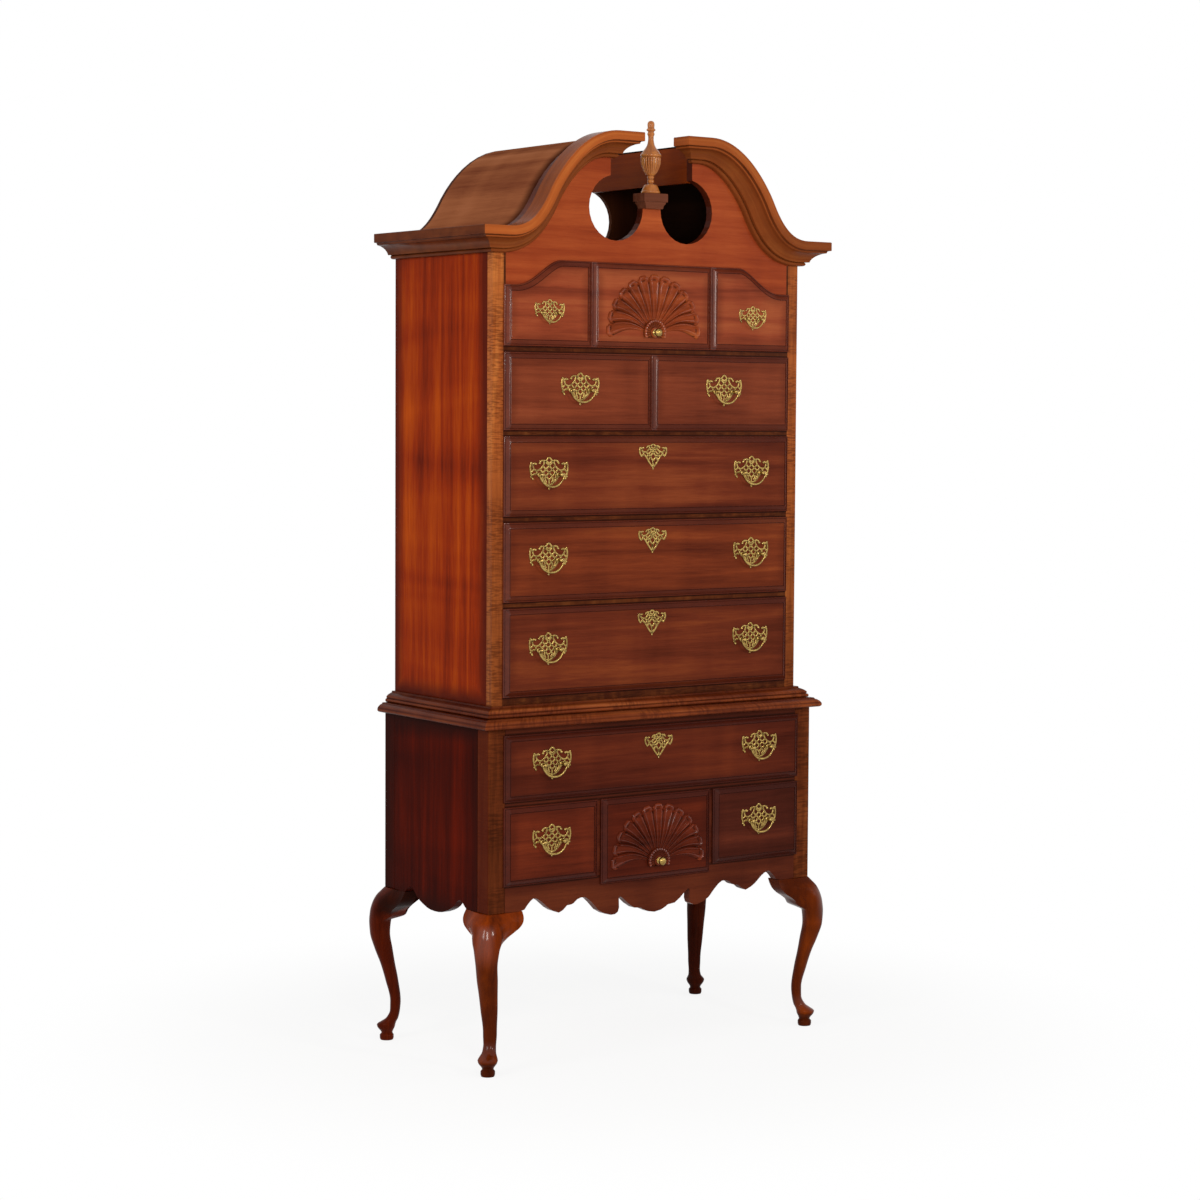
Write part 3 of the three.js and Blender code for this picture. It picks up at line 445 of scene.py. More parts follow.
def leg_ring(level):
    """One level's outline in millimetres, for the front right leg, from its ridge round. A knee
    with a full wing runs on smoothly into the wing's face."""
    up, centre, deep, wide, square, wing, proud = level
    shift = centre * knee_girth * math.sqrt(0.5)

    def round_at(degrees):
        angle = math.radians(degrees)
        a = abs(math.cos(angle)) / (deep * knee_girth)
        b = abs(math.sin(angle)) / (wide * knee_girth)
        radius = (a ** square + b ** square) ** (-1 / square)
        turn = -math.radians(45 + degrees)
        return (shift + radius * math.cos(turn), -shift + radius * math.sin(turn))

    stations = [round_at(angle) for angle in wing_stations]
    if wing:
        face = -proud * knee_girth
        stations[1:4] = [(-wing * wing_reach, face + along * wing_thick) for along in (0, 0.5, 1)]
    half = [round_at(angle) for angle in ridge_angles]
    smooth = wing > wing_blend
    if smooth:
        half = half[:knee_end + 1]
        start, tip = Vector(half[-1]), Vector(stations[1])
        span = (tip - start).length
        first = start + (start - Vector(half[-2])).normalized() * span * 0.4
        second = tip + Vector((span * 0.4, 0))
        half += [bezier(step / swept_steps, start, first, second, tip)
                 for step in range(1, swept_steps + 1)]
    for i in range(int(smooth), len(stations) - 1):
        for step in range(1, station_steps + 1):
            t = step / station_steps
            if smooth or wing and i < 4:
                half.append(tuple(a + (b - a) * t for a, b in zip(stations[i], stations[i + 1])))
            else:
                half.append(round_at(wing_stations[i] + (wing_stations[i + 1] - wing_stations[i]) * t))
    return half + [(-y, -x) for x, y in half[-2:0:-1]]


def fair(heights, rows, fine):
    """Rows of values at some heights, carried smoothly and without overshoot to finer heights."""
    heights, rows = numpy.array(heights, float), numpy.array(rows, float)
    gaps = numpy.diff(heights).reshape(-1, 1)
    slopes = numpy.diff(rows, axis=0) / gaps
    before, after = slopes[:-1], slopes[1:]
    whole = gaps[:-1] + gaps[1:]
    first, second = (whole + gaps[1:]) / (3 * whole), (whole + gaps[:-1]) / (3 * whole)
    same = before * after > 0
    bottom = numpy.where(same, first * after + second * before, 1)
    middle = numpy.where(same, before * after / bottom, 0)
    tangents = numpy.vstack((slopes[:1], middle, slopes[-1:]))
    at = numpy.clip(numpy.searchsorted(heights, fine, side="right") - 1, 0, len(heights) - 2)
    gap = gaps[at]
    t = (numpy.array(fine).reshape(-1, 1) - heights[at].reshape(-1, 1)) / gap
    return ((2 * t ** 3 - 3 * t ** 2 + 1) * rows[at] + (t ** 3 - 2 * t ** 2 + t) * gap * tangents[at]
            + (3 * t ** 2 - 2 * t ** 3) * rows[at + 1] + (t ** 3 - t ** 2) * gap * tangents[at + 1])


def carry(mesh, **carried):
    """Stores a number or a vector for each point of a mesh, under the names given."""
    for label, values in carried.items():
        values = numpy.array(values, float)
        kind, field = ("FLOAT", "value") if values.ndim == 1 else ("FLOAT_VECTOR", "vector")
        mesh.attributes.new(label, kind, "POINT").data.foreach_set(field, values.ravel())
    return mesh


def form(points, faces=(), edges=(), back=front_plane):
    """A mesh from points in millimetres, whose depth counts from the case's front."""
    mesh = bpy.data.meshes.new("form")
    mesh.from_pydata([(x / 1000, (y + back) / 1000, z / 1000) for x, y, z in points], edges, faces)
    return mesh


def skin(rings, closed=True):
    """Points and faces over rings that have the same count, with each end closed by its ring."""
    count = len(rings[0])
    last = (len(rings) - 1) * count
    faces = []
    for a in range(0, last, count):
        for i in range(count):
            j = (i + 1) % count
            faces.append((a + i, a + j, a + count + j, a + count + i))
    if closed:
        faces += [tuple(range(count)), tuple(reversed(range(last, last + count)))]
    return [point for ring in rings for point in ring], faces


def slab(x0, x1, y0, y1, z0, z1, chamfer=0.0):
    """A board with its corners and edges eased by a chamfer."""
    rings = []
    for z, e in ((z0, chamfer), (z0 + chamfer, 0), (z1 - chamfer, 0), (z1, chamfer)):
        c = chamfer + e
        rings.append([(x, y, z) for x, y in (
            (x0 + c, y0 + e), (x1 - c, y0 + e), (x1 - e, y0 + c), (x1 - e, y1 - c),
            (x1 - c, y1 - e), (x0 + c, y1 - e), (x0 + e, y1 - c), (x0 + e, y0 + c))])
    return form(*skin(rings))


def joined(meshes):
    """One mesh from several, keeping what they carry."""
    shape = bmesh.new()
    for mesh in meshes:
        shape.from_mesh(mesh)
    made = bpy.data.meshes.new("joined")
    shape.to_mesh(made)
    shape.free()
    return made


def settle(name, mesh, finishes, body, stands_for=(), crisp=35):
    """Makes a piece of a mesh. Its seams are closed, its faces turned outward and smooth but for
    edges sharper than crisp. It takes the place of the CAD nodes that it stands for."""
    for finish in finishes:
        if finish.name not in mesh.materials:
            mesh.materials.append(finish)
    shape = bmesh.new()
    shape.from_mesh(mesh)
    bmesh.ops.remove_doubles(shape, verts=shape.verts, dist=0.000005)
    bmesh.ops.dissolve_degenerate(shape, edges=shape.edges, dist=0.000002)
    bmesh.ops.recalc_face_normals(shape, faces=shape.faces)
    shape.to_mesh(mesh)
    shape.free()
    mesh.name = name
    mesh.shade_smooth()
    mesh.set_sharp_from_angle(angle=math.radians(crisp))
    piece = stand(name, mesh)
    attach(piece, body)
    if stands_for:
        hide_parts(*stands_for)


def knee_shine(wood, x, y, z):
    """The thicker lacquer on the ridge of a front knee and on its foot, rubbed to a gloss."""
    ridge = (x.absolute() + y).at((lower_half + front_plane) / 1000, 0.01, 0.038)
    knee = z.rise(0.24, 0.31) * z.fall(0.33, 0.35)
    foot = z.rise(0.032, 0.038) * z.fall(0.06, 0.08)
    return (knee * 0.75 + foot * 0.3) * ridge


def foot_shade(wood, x, y, z):
    """A front leg darker below its knee, deepest on its shank, and painted shade on the disc under its
    foot and on the knee of the right leg."""
    shank = z.fall(0.24, 0.3) * (z.rise(0.04, 0.07) * 0.25 + 0.35)
    knee = x.rise(0.0, 0.1) * z.rise(0.2, 0.28) * 0.62
    return (shank + z.fall(0.028, 0.035) * 0.35).most(knee)


def wing_shade(wood, x, y, z):
    """Painted shade on a back leg's wings, away from the ridge of its knee, and all down the
    right leg."""
    off = (x.absolute() - y - (lower_half - lower_depth - front_plane) / 1000).absolute()
    return (off.rise(0.03, 0.055) * z.rise(0.29, 0.315) * 0.85).most(x.rise(0.0, 0.1) * 0.6)


def post_side_shade(wood, x, y, z):
    """Painted shade on the side faces of the front posts."""
    return x.absolute().rise(0.4586, 0.4598) * 0.8


leg_wood = timber("leg cherry", ("3f1202", "762b04", "a44408"), "z", 6.0, broad=20.0, gloss=0.2,
                  lacquer=0.03, sheen=0.02, shade=foot_shade, shade_tone="240b05", shine=knee_shine)
# The back legs' tones are darker than the front legs', as painted shade.
shaded_back_leg_wood = timber("back leg cherry in painted shade", ("290702", "4f1605", "6e270a"), "z", 6.5, broad=20.0,
                       gloss=0.25, sheen=0.02, shade=wing_shade, shade_tone="1c0804")
post_wood = timber("leg post maple", ("311308", "632d14", "874822"), "z", 8.0, broad=26.0,
                   curl=0.5, curl_scale=230.0, sheen=0.01, shade=post_side_shade, shade_tone="491202")
heights = [level[0] * leg_height for level in leg_levels]
fine_heights = []
for low, high in zip(heights, heights[1:]):
    steps = max(2, math.ceil((high - low) / level_gap))
    fine_heights += [low + (high - low) * step / steps for step in range(steps)]
fine_heights.append(heights[-1])
rows = [[value for point in leg_ring(level) for value in point] for level in leg_levels]
smooth_rows = fair(heights, rows, fine_heights)
for side, across in both_sides:
    for end, y0, leg_finish, post_finish in (
            ("front", 0, leg_wood, post_wood),
            ("back", lower_depth - post_size, shaded_back_leg_wood, lower_wood)):
        rings = [[(across * (x + lower_half), y if end == "front" else lower_depth - y, height)
                  for x, y in row.reshape(-1, 2)] for height, row in zip(fine_heights, smooth_rows)]
        settle(f"carved_leg_{end}_{side}", form(*skin(rings)), [leg_finish], "case",
               [f"leg_{end}_{side}"], crisp=38)
        x0, x1 = sorted((across * (lower_half - post_size), across * lower_half))
        post = slab(x0, x1, y0, y0 + post_size, leg_height - 0.5, lower_top, post_chamfer)
        settle(f"leg_post_{end}_{side}", post, [post_finish], "case")

# The mouldings
# The waist board, the upper case's base moulding and the crown are run from solid maple with a
# shaped edge, mitred at the corners, glued and pinned to the cases.

waist_top = 803
crown_foot = 1841
upper_half = 433
upper_front = 30
gooseneck_rise = 226.5
gooseneck_outer = 420
gooseneck_inner = 131
channel_half = 116
return_share = 0.94
rail_foot = 759.5
rail_deep = 22


def shape_tree(name, **inputs):
    """The recipe of a new tree of shape nodes, and the wires of its inputs and of its finish."""
    tree = bpy.data.node_groups.new(name, "GeometryNodeTree")
    shape = Recipe(tree)
    for label, kind in {**inputs, "Finish": "Material"}.items():
        tree.interface.new_socket(name=label, in_out="INPUT", socket_type=f"NodeSocket{kind}")
    tree.interface.new_socket(name="Shape", in_out="OUTPUT", socket_type="NodeSocketGeometry")
    given = shape.node("NodeGroupInput").socket.node.outputs
    return shape, *(Wire(shape, output) for output in given[:len(inputs) + 1])


def end_tree(shape, whole, finish):
    """Ends a tree of shape nodes with plain geometry in its finish."""
    real = shape.node("GeometryNodeRealizeInstances", {0: whole})
    dressed = shape.node("GeometryNodeSetMaterial", {"Geometry": real, "Material": finish})
    shape.node("NodeGroupOutput", {0: dressed})
    return shape.tree


def run_tree():
    """Shape nodes that carry a section along a path. The path's points hold the ways out and up,
    already lengthened for the mitres, and the distance run so far."""
    shape, path, section, reach, rise, finish = shape_tree(
        "moulding run", Path="Geometry", Section="Object", Reach="Float", Rise="Float")
    profile = shape.node("GeometryNodeObjectInfo", {"Object": section}, "Geometry")
    stations, points = (shape.node("GeometryNodeAttributeDomainSize", {0: part}, component="MESH")
                        for part in (path, profile))
    sheet = shape.node("GeometryNodeMeshGrid", {"Vertices X": stations, "Vertices Y": points})
    index = shape.node("GeometryNodeInputIndex")
    station = shape.math("FLOOR", index / points)

    def sample(source, value, at):
        return shape.node("GeometryNodeSampleIndex", {"Geometry": source, "Value": value, "Index": at},
                          data_type="FLOAT_VECTOR", domain="POINT")

    def here(name):
        return sample(path, shape.node("GeometryNodeInputNamedAttribute", {"Name": name},
                                       data_type="FLOAT_VECTOR"), station)

    place = shape.node("GeometryNodeInputPosition")
    across, up, girth = shape.parts(sample(profile, place, index - station * points))
    outward = shape.vector("SCALE", here("out"), across * reach)
    upward = shape.vector("SCALE", here("up"), up * rise)
    spot = shape.vector("ADD", shape.vector("ADD", sample(path, place, station), outward), upward)
    grain = shape.node("ShaderNodeCombineXYZ", {0: shape.parts(here("run"))[0], 1: girth, 2: up * rise})
    placed = shape.node("GeometryNodeSetPosition", {"Geometry": sheet, "Position": spot})
    return end_tree(shape, shape.store(placed, "grain", grain), finish)


def shaped(tree, mesh, **inputs):
    """Runs a tree of shape nodes on a mesh and returns the plain mesh that comes out, in its
    finish alone, without the empty slot that stands before it."""
    host = stand("host", mesh)
    modifier = host.modifiers.new("shape", "NODES")
    modifier.node_group = tree
    for item in tree.interface.items_tree:
        if item.in_out == "INPUT" and item.name in inputs:
            modifier[item.identifier] = inputs[item.name]
    bpy.context.view_layer.update()
    graph = bpy.context.evaluated_depsgraph_get()
    made = bpy.data.meshes.new_from_object(host.evaluated_get(graph))
    host.modifiers.remove(modifier)
    bpy.data.objects.remove(host)
    made.materials.pop(index=0)
    return made


def bent(points, steps=5):
    """A smooth line through the points, with steps between each pair."""
    line = []
    for i in range(len(points) - 1):
        a, b = points[max(i - 1, 0)], points[i]
        c, d = points[i + 1], points[min(i + 2, len(points) - 1)]
        for t in (step / steps for step in range(steps)):
            line.append(tuple(
                0.5 * (2 * q + (r - p) * t + (2 * p - 5 * q + 4 * r - s) * t * t
                       + (3 * q - p - 3 * r + s) * t ** 3)
                for p, q, r, s in zip(a, b, c, d)))
    return line + [tuple(points[-1])]


def girths(line):
    """The distance run along a line to each of its points."""
    reached = [0.0]
    for a, b in zip(line, line[1:]):
        reached.append(reached[-1] + math.dist(a, b))
    return reached


moulding_run = run_tree()


def moulding(path, section, caps, finish):
    """The mesh of a section carried along a path. The path is a list of (place, out, up) and the
    section one of (out, up), all in millimetres. caps gives the faces that close it."""
    places, outs, ups = zip(*path)
    trail = carry(form(places), out=outs, up=ups, run=[(r / 1000, 0, 0) for r in girths(places)])
    outline = form([(*point, girth) for point, girth in zip(section, girths(section))], back=0)
    profile = stand("section", outline)
    mesh = shaped(moulding_run, trail, Section=profile, Reach=1.0, Rise=1.0, Finish=finish)
    bpy.data.objects.remove(profile)
    shape = bmesh.new()
    shape.from_mesh(mesh)
    shape.verts.ensure_lookup_table()
    for cap in caps(len(section), len(path)):
        shape.faces.new([shape.verts[i] for i in cap])
    shape.to_mesh(mesh)
    shape.free()
    return mesh


def board_caps(count, stations):
    """Top, underside and back edge of a board whose front and ends are moulded."""
    last = (stations - 1) * count
    return [[i + count - 1 for i in range(0, last + 1, count)], list(range(last, -1, -count)),
            [*range(last, last + count), *reversed(range(count))]]


def tube_caps(count, stations):
    """Both square ends of a run whose section is closed."""
    last = (stations - 1) * count
    return [list(reversed(range(count - 1))), list(range(last, last + count - 1))]


def front_caps(count, stations):
    """The back of a bordered panel."""
    return [list(range((stations - 2) * count, -1, -count))]


waist_section = [(-30, 0), (16, 0)] + bent([(18.6, 1.2), (20.6, 3.6), (21, 6.6), (20.2, 10),
                                            (17.6, 13.6), (13.8, 16.6), (11.4, 18)]) + \
    bent([(10.2, 18.2), (8.6, 19.4), (7.6, 21.2), (5, 22)]) + [(-30, 22)]
base_section = [(-30, 0), (21.5, 0)] + bent([(24.4, 0.8), (26.2, 3), (26.4, 5.8), (24.8, 8.4)]) + \
    [(22.4, 9.2), (22.4, 10.2)] + bent([(23.6, 11), (23.2, 13.4), (20.6, 16.4), (16.8, 19),
                                       (12.6, 21), (9.6, 22.2)]) + \
    [(9.0, 22.6), (8.6, 26), (-30, 26)]


def board_shade(wood, run, girth, up):
    """Painted shade in the groove between the noses of a board's edge, along its top and foot, and on
    its two sides and its back.
    """
    x, y, z = wood.parts(wood.place())
    edge = (lower_half + front_plane) / 1000
    side = (x.absolute() + y).rise(edge - 0.001, edge + 0.004).most(y.rise(0.15, 0.16))
    ends = up.fall(0.001, 0.0045).most(up.rise(0.0165, 0.02))
    return (side * 0.5 + up.at(0.0098, 0.0008, 0.0028).most(ends) * 0.55).least(0.9)


moulding_wood = timber("moulding maple", ("42140c", "803c1b", "a65d2f"), "x", 9.0, source="grain",
                       broad=26.0, curl=0.5, curl_scale=240.0, gloss=0.26, lacquer=0.06, sheen=0.02,
                       shade=board_shade, shade_tone="3d0f02")
for name, half, front, foot, section, node in (
        ("waist_moulding", lower_half, 0, lower_top, waist_section, "waist_board"),
        ("base_moulding", upper_half, upper_front, waist_top, base_section, "upper_base_board")):
    path = [((x * half, front if mitred else lower_depth, foot), (x, -mitred, 0), (0, 0, 1))
            for x, mitred in ((1, 0), (1, 1), (-1, 1), (-1, 0))]
    settle(name, moulding(path, section, board_caps, moulding_wood), [moulding_wood], "case",
           [node], crisp=30)
rail_half = lower_half - post_size
settle("waist_rail", slab(-rail_half, rail_half, 0, rail_deep, rail_foot, lower_top + 2), [apron_wood],
       "case")

gooseneck_curves = [[(0, 0), (0.31, 0), (0.455, 0.3), (0.548, 0.538)],
                    [(0.548, 0.538), (0.645, 0.75), (0.81, 1), (1, 1)]]
gooseneck_steps = 26


def gooseneck():
    """Points of the crown's foot line, from the corner up to the channel, with the way up there."""
    line = []
    for part, shares in enumerate(gooseneck_curves):
        a, b, c, d = [(gooseneck_outer + s * (gooseneck_inner - gooseneck_outer),
                       crown_foot + u * gooseneck_rise) for s, u in shares]
        for step in range(part, gooseneck_steps + 1):
            t = step / gooseneck_steps
            x, z = bezier(t, a, b, c, d)
            along = [3 * ((1 - t) ** 2 * (q - p) + 2 * (1 - t) * t * (r - q) + t * t * (s - r))
                     for p, q, r, s in zip(a, b, c, d)]
            length = math.hypot(*along)
            line.append((x, z, along[1] / length, -along[0] / length))
    return line


crown_section = [(0, 0), (7, 0)] + bent([(8.6, 0.2), (11.6, 1.3), (13.5, 3.8), (13.6, 6.2),
                                         (11.8, 8.6)], 4) + \
    [(11.6, 9.2), (20.4, 9.2)] + bent([(20.8, 10.6), (22.4, 14.4), (25.4, 18.6), (29.8, 22.8),
                                       (35.4, 26.4), (42, 29.4), (49.6, 31)], 4) + \
    bent([(50, 33), (50.6, 34.6), (52.4, 35.8), (55, 36.2)], 3) + \
    [(57.2, 36.6), (58, 37.6), (58, 55.6), (56.8, 57), (0, 57), (0, 0)]
mitre_line = (upper_half + upper_front + front_plane) / 1000
crown_girth = girths(crown_section)[-2] / 1000


def crown_shade(wood, run, girth, up):
    """Painted shade on the crown's cove and on the fine line under its fascia, on its right half,
    most of all low down, and on its returns, which run back from the mitres; its top is darker too."""
    x, y, z = wood.parts(wood.place())
    cove = up.fall(0.03, 0.033) * 0.55
    right_half = x.rise(0.0, 0.1) * (z.fall(1.89, 1.98) * 0.3 + 0.2)
    line = up.at(0.0352, 0.0008, 0.002) * 0.75
    top = girth.rise(crown_girth - 0.056, crown_girth - 0.05) * 0.5
    back = (x.absolute() + y).rise(mitre_line, mitre_line + 0.0006) * 0.8
    return back.most(cove).most(right_half).most(line).most(top)


crown_wood = timber("crown maple", ("6e3413", "a65425", "d07e3c"), "x", 11.0, source="grain",
                    broad=22.0, contrast=0.8, gloss=0.24, sheen=0.02, shade=crown_shade,
                    shade_tone="35140a")
neck = gooseneck()
neck_top = crown_foot + gooseneck_rise
for side, across in both_sides:
    path = [((across * upper_half, lower_depth, crown_foot), (across, 0, 0), (0, 0, 1)),
            ((across * upper_half, upper_front, crown_foot), (across, -1, 0), (0, 0, 1))]
    path += [((across * x, upper_front, z), (0, -1, 0), (across * ux, 0, uz)) for x, z, ux, uz in neck]
    path += [((across * channel_half, upper_front, neck_top), (-across * return_share, forward, 0),
              (0, 0, 1)) for forward in (-1, 0)]
    settle(f"crown_run_{side}", moulding(path, crown_section, tube_caps, crown_wood), [crown_wood],
           "case", [f"crown_{side}"], crisp=30)

# The roof
# Two bent sheets of ply that follow the goosenecks back to the case's rear edge, veneered outside
# and in painted shade inside, with a board down each side of the channel behind the finial.

roof_out = 56
roof_sink = 12
roof_thick = 8
channel_board = 12
channel_foot = 2024
channel_top = 2108
frame_back = 52
panel_back = 440


def roof_line(inwards, inner):
    """The roof's outline as far inwards from its outside, up to its inner edge at the channel."""
    line = [(upper_half, crown_foot + roof_out - inwards)]
    for x, z, up_x, up_z in neck:
        climbed = (z - crown_foot) / gooseneck_rise
        lift = roof_out - inwards - roof_sink * climbed ** 4
        line.append((x + up_x * lift, z + up_z * lift))
    return line + [(inner, neck_top + roof_out - inwards - roof_sink)]


# The roof is darker along its outer and front edges, as painted shade where it meets the crown.
roof_shade_box = ((-0.433, -0.175, 0), (0.433, 0.6, 9))
roof_wood = timber("roof cherry", ("5f2a1c", "965939", "b4724e"), "y", 12.0, broad=9.0,
                   contrast=0.8, lacquer=0.0, sheen=0.0, shade_tone="3d1c11",
                   shade=near_edges(roof_shade_box, (0, 1), 0.05))
inside_shade_wood = timber("inside ply in painted shade", ("1c0f0a", "2e1a10", "402618"), "y", 13.0, gloss=0.6,
                   lacquer=0.0)
channel_wood = timber("channel board", ("4c1702", "782d03", "934006"), "y", 14.0, broad=11.0)
for side, across in both_sides:
    outer = roof_line(0, channel_half)
    outline = outer + roof_line(roof_thick, channel_half + channel_board)[::-1]
    points, faces = skin([[(across * x, y, z) for x, z in outline] for y in (frame_back, panel_back)],
                         closed=False)
    outside, count = len(outer) - 1, len(outline)
    for a in range(outside):
        d, c = count - 1 - a, count - 2 - a
        faces += [(a, a + 1, c, d), (count + d, count + c, count + a + 1, count + a)]
    roof = form(points, faces)
    inside = [int(i >= count or face[0] >= outside) for i, face in enumerate(faces)]
    roof.polygons.foreach_set("material_index", inside)
    settle(f"roof_{side}", roof, [roof_wood, inside_shade_wood], "case", [f"bonnet_roof_{side}"])
    x0, x1 = sorted((across * channel_half, across * (channel_half + channel_board)))
    settle(f"channel_board_{side}", slab(x0, x1, frame_back, panel_back, channel_foot, channel_top),
           [channel_wood], "case")

# The plinth and the finial
# A moulded cherry block on the middle post of the scroll board carries an urn finial. The finial is
# turned from one piece of golden maple, and its bowl is reeded.

post_top = 1957
plinth_y = 35
plinth_wide = 67
plinth_deep = 45
plinth_high = 35
finial_radius = 24.5
finial_high = 167
finial_sides = 112
reeds = 22
reed_depth = 0.12


def turns(sides):
    """The angles of a round ring's points."""
    return [2 * math.pi * k / sides for k in range(sides)]


plinth_levels = bent([(0.7, 0), (0.73, 0.06), (0.75, 0.16), (0.8, 0.26), (0.88, 0.36)], 3) + \
    [(0.88, 0.45), (0.98, 0.46), (1, 0.5), (1, 0.96), (0.98, 1), (0.3, 1)]
rings = [[(x * plinth_wide / 2 * share, plinth_y + y * plinth_deep / 2 * share,
           post_top + up * plinth_high) for x, y in ((-1, -1), (1, -1), (1, 1), (-1, 1))]
         for share, up in plinth_levels]
plinth_wood = timber("plinth cherry", ("32160f", "643625", "885139"), "x", 15.0, gloss=0.28)
settle("plinth_block", form(*skin(rings)), [plinth_wood], "case", ["finial_plinth"])

finial_profile = [(0.84, 0)] + bent([(0.9, 0.01), (0.91, 0.024), (0.86, 0.037)], 3) + \
    bent([(0.83, 0.042), (0.75, 0.075), (0.66, 0.105), (0.58, 0.121)], 3) + \
    bent([(0.34, 0.126), (0.25, 0.138), (0.29, 0.155), (0.33, 0.172), (0.29, 0.189)], 3) + \
    bent([(0.25, 0.199), (0.29, 0.212), (0.33, 0.228), (0.29, 0.244)], 3) + \
    bent([(0.31, 0.25), (0.46, 0.266), (0.64, 0.3), (0.81, 0.356), (0.91, 0.404), (0.95, 0.459),
          (0.94, 0.497)], 4) + \
    bent([(0.9, 0.503), (0.98, 0.513), (1.0, 0.527), (0.96, 0.541)], 3) + \
    bent([(0.88, 0.548), (0.84, 0.562), (0.73, 0.588), (0.53, 0.624), (0.385, 0.66), (0.31, 0.697),
          (0.26, 0.752), (0.275, 0.795)], 4) + \
    bent([(0.31, 0.802), (0.35, 0.819), (0.31, 0.836)], 3) + \
    bent([(0.28, 0.846), (0.3, 0.856), (0.41, 0.868), (0.43, 0.878), (0.36, 0.891)], 3) + \
    bent([(0.31, 0.9), (0.33, 0.925), (0.33, 0.96), (0.26, 0.985), (0.13, 0.998), (0, 1)], 4)
# Each point carries how deep it lies in a waist or between reeds, which keys the painted shade there.
rings, reliefs = [], []
for i, (share, up) in enumerate(finial_profile):
    beside = [finial_profile[max(i - 3, 0)][0], finial_profile[min(i + 3, len(finial_profile) - 1)][0]]
    waist = min(1, max(0, (min(beside) - share) / 0.06))
    carved = min(1, max(0, (up - 0.262) / 0.03)) * min(1, max(0, (0.499 - up) / 0.012))
    ring = []
    for angle in turns(finial_sides):
        valley = carved * (1 - abs(math.sin(angle * reeds / 2))) ** 1.5
        radius = finial_radius * share * (1 - reed_depth * valley)
        reliefs.append((max(waist, valley), 0, 0))
        ring.append((radius * math.cos(angle), plinth_y + radius * math.sin(angle),
                     post_top + plinth_high + up * finial_high))
    rings.append(ring)


def waist_shade(wood, x, y, z):
    """Painted shade in the turned waists and between the reeds."""
    return wood.parts(wood.carried("relief"))[0] * 0.8


finial_wood = timber("finial maple", ("753e1e", "af6832", "dd9b4a"), "z", 16.0, broad=60.0,
                     contrast=0.7, gloss=0.2, lacquer=0.35, sheen=0.08, shade=waist_shade,
                     shade_tone="4a1c08")
settle("turned_finial", carry(form(*skin(rings)), relief=reliefs), [finial_wood], "case",
       ["finial"], crisp=50)

# The drawers
# Nine lipped cherry fronts on dovetailed boxes of pale poplar. Each field stands proud inside a
# bevelled border between two fine grooves; the top two fronts are bordered as if they were more.

lip = 6
slack = lip + 3
field_proud = 11
box_wall = 12
box_deep = 392
box_head = 12
box_chamfer = 0.8
bottom_lift = 8
bottom_thick = 6
front_half = 405
lower_front_half = 421
scoop_outer = front_half - 30
scoop_inner = scoop_outer - 122
scoop_steps = 26
scoop_lean = 0.88

border = [(0, 0), (0, 3.0)] + bent([(0.3, 3.9), (1.0, 4.7), (2.1, 5.0)], 3) + \
    [(2.7, 5.0), (3.0, 4.1), (4.0, 4.1), (4.3, 5.0)] + \
    bent([(5.0, 5.6), (8.0, 8.0), (10.6, 9.9), (12.2, 10.7)], 2) + \
    [(12.8, 10.8), (13.1, 9.3), (14.1, 9.3), (14.5, 10.6), (15.2, 11)]
border_wide = border[-1][0]
border_girths = [girth / 1000 for girth in girths(border)]
border_girth = border_girths[-1]
grooves = ((3.0, 4.1), (4.0, 4.1), (13.1, 9.3), (14.1, 9.3))
groove_girths = [girth for girth, point in zip(border_girths, border) if point in grooves]
field_insets = (22, 32, 46)


def top_at(x, ear, rise):
    """Height of a front's upper edge, which sweeps down to an ear where the front is shaped."""
    t = min(1, max(0, (abs(x) - scoop_inner) / (scoop_outer - scoop_inner)))
    return ear + rise * (1 + math.cos(math.pi * t ** scoop_lean)) / 2


def shaped_top(x0, x1, foot, ear, rise):
    """Outline of a bordered panel, from its low left corner round by the right."""
    stops = {x0, x1}
    for step in range(scoop_steps + 1 if rise else 0):
        x = scoop_inner + (scoop_outer - scoop_inner) * step / scoop_steps
        stops.update(v for v in (x, -x) if x0 < v < x1)
    return [(x0, foot), (x1, foot)] + [(x, top_at(x, ear, rise)) for x in sorted(stops, reverse=True)]


def border_path(outline, front):
    """The outline as a path for a moulding: out runs inward along each mitre, up runs forward."""
    path = []
    count = len(outline)
    for i in range(count + 1):
        last, here, following = (Vector(outline[(i + step) % count]) for step in (-1, 0, 1))
        before, after = (here - last).normalized(), (following - here).normalized()
        mitre = (before + after).normalized()
        reach = 1 / mitre.dot(before)
        x, z = outline[i % count]
        path.append(((x, front, z), (-mitre.y * reach, 0, mitre.x * reach), (0, -1, 0)))
    return path


def field_mesh(path, x0, x1, foot, ear, rise, front):
    """The flat field inside a border, in rings that know how far in they lie."""
    level = front - field_proud
    rings = [[(x + ox * border_wide, level, z + oz * border_wide)
              for (x, _, z), (ox, _, oz), _ in path[:-1]]]
    depths = [border_girth] * len(rings[0])
    for deep in field_insets:
        ring = []
        for i, (x, _, _) in enumerate(rings[0]):
            x = min(x1 - deep, max(x0 + deep, x))
            z = foot + deep if i < 2 else min(
                top_at(x + reach, ear, rise) - math.sqrt(deep * deep - reach * reach)
                for reach in (deep * k / 12 for k in range(-12, 13)))
            ring.append((x, level, z))
        rings.append(ring)
        depths += [border_girth + (deep - border_wide) / 1000] * len(ring)
    points, faces = skin(rings, closed=False)
    faces.append(tuple(range(len(points) - len(ring), len(points))))
    return carry(form(points, faces), grain=[(0, depth, 0) for depth in depths])


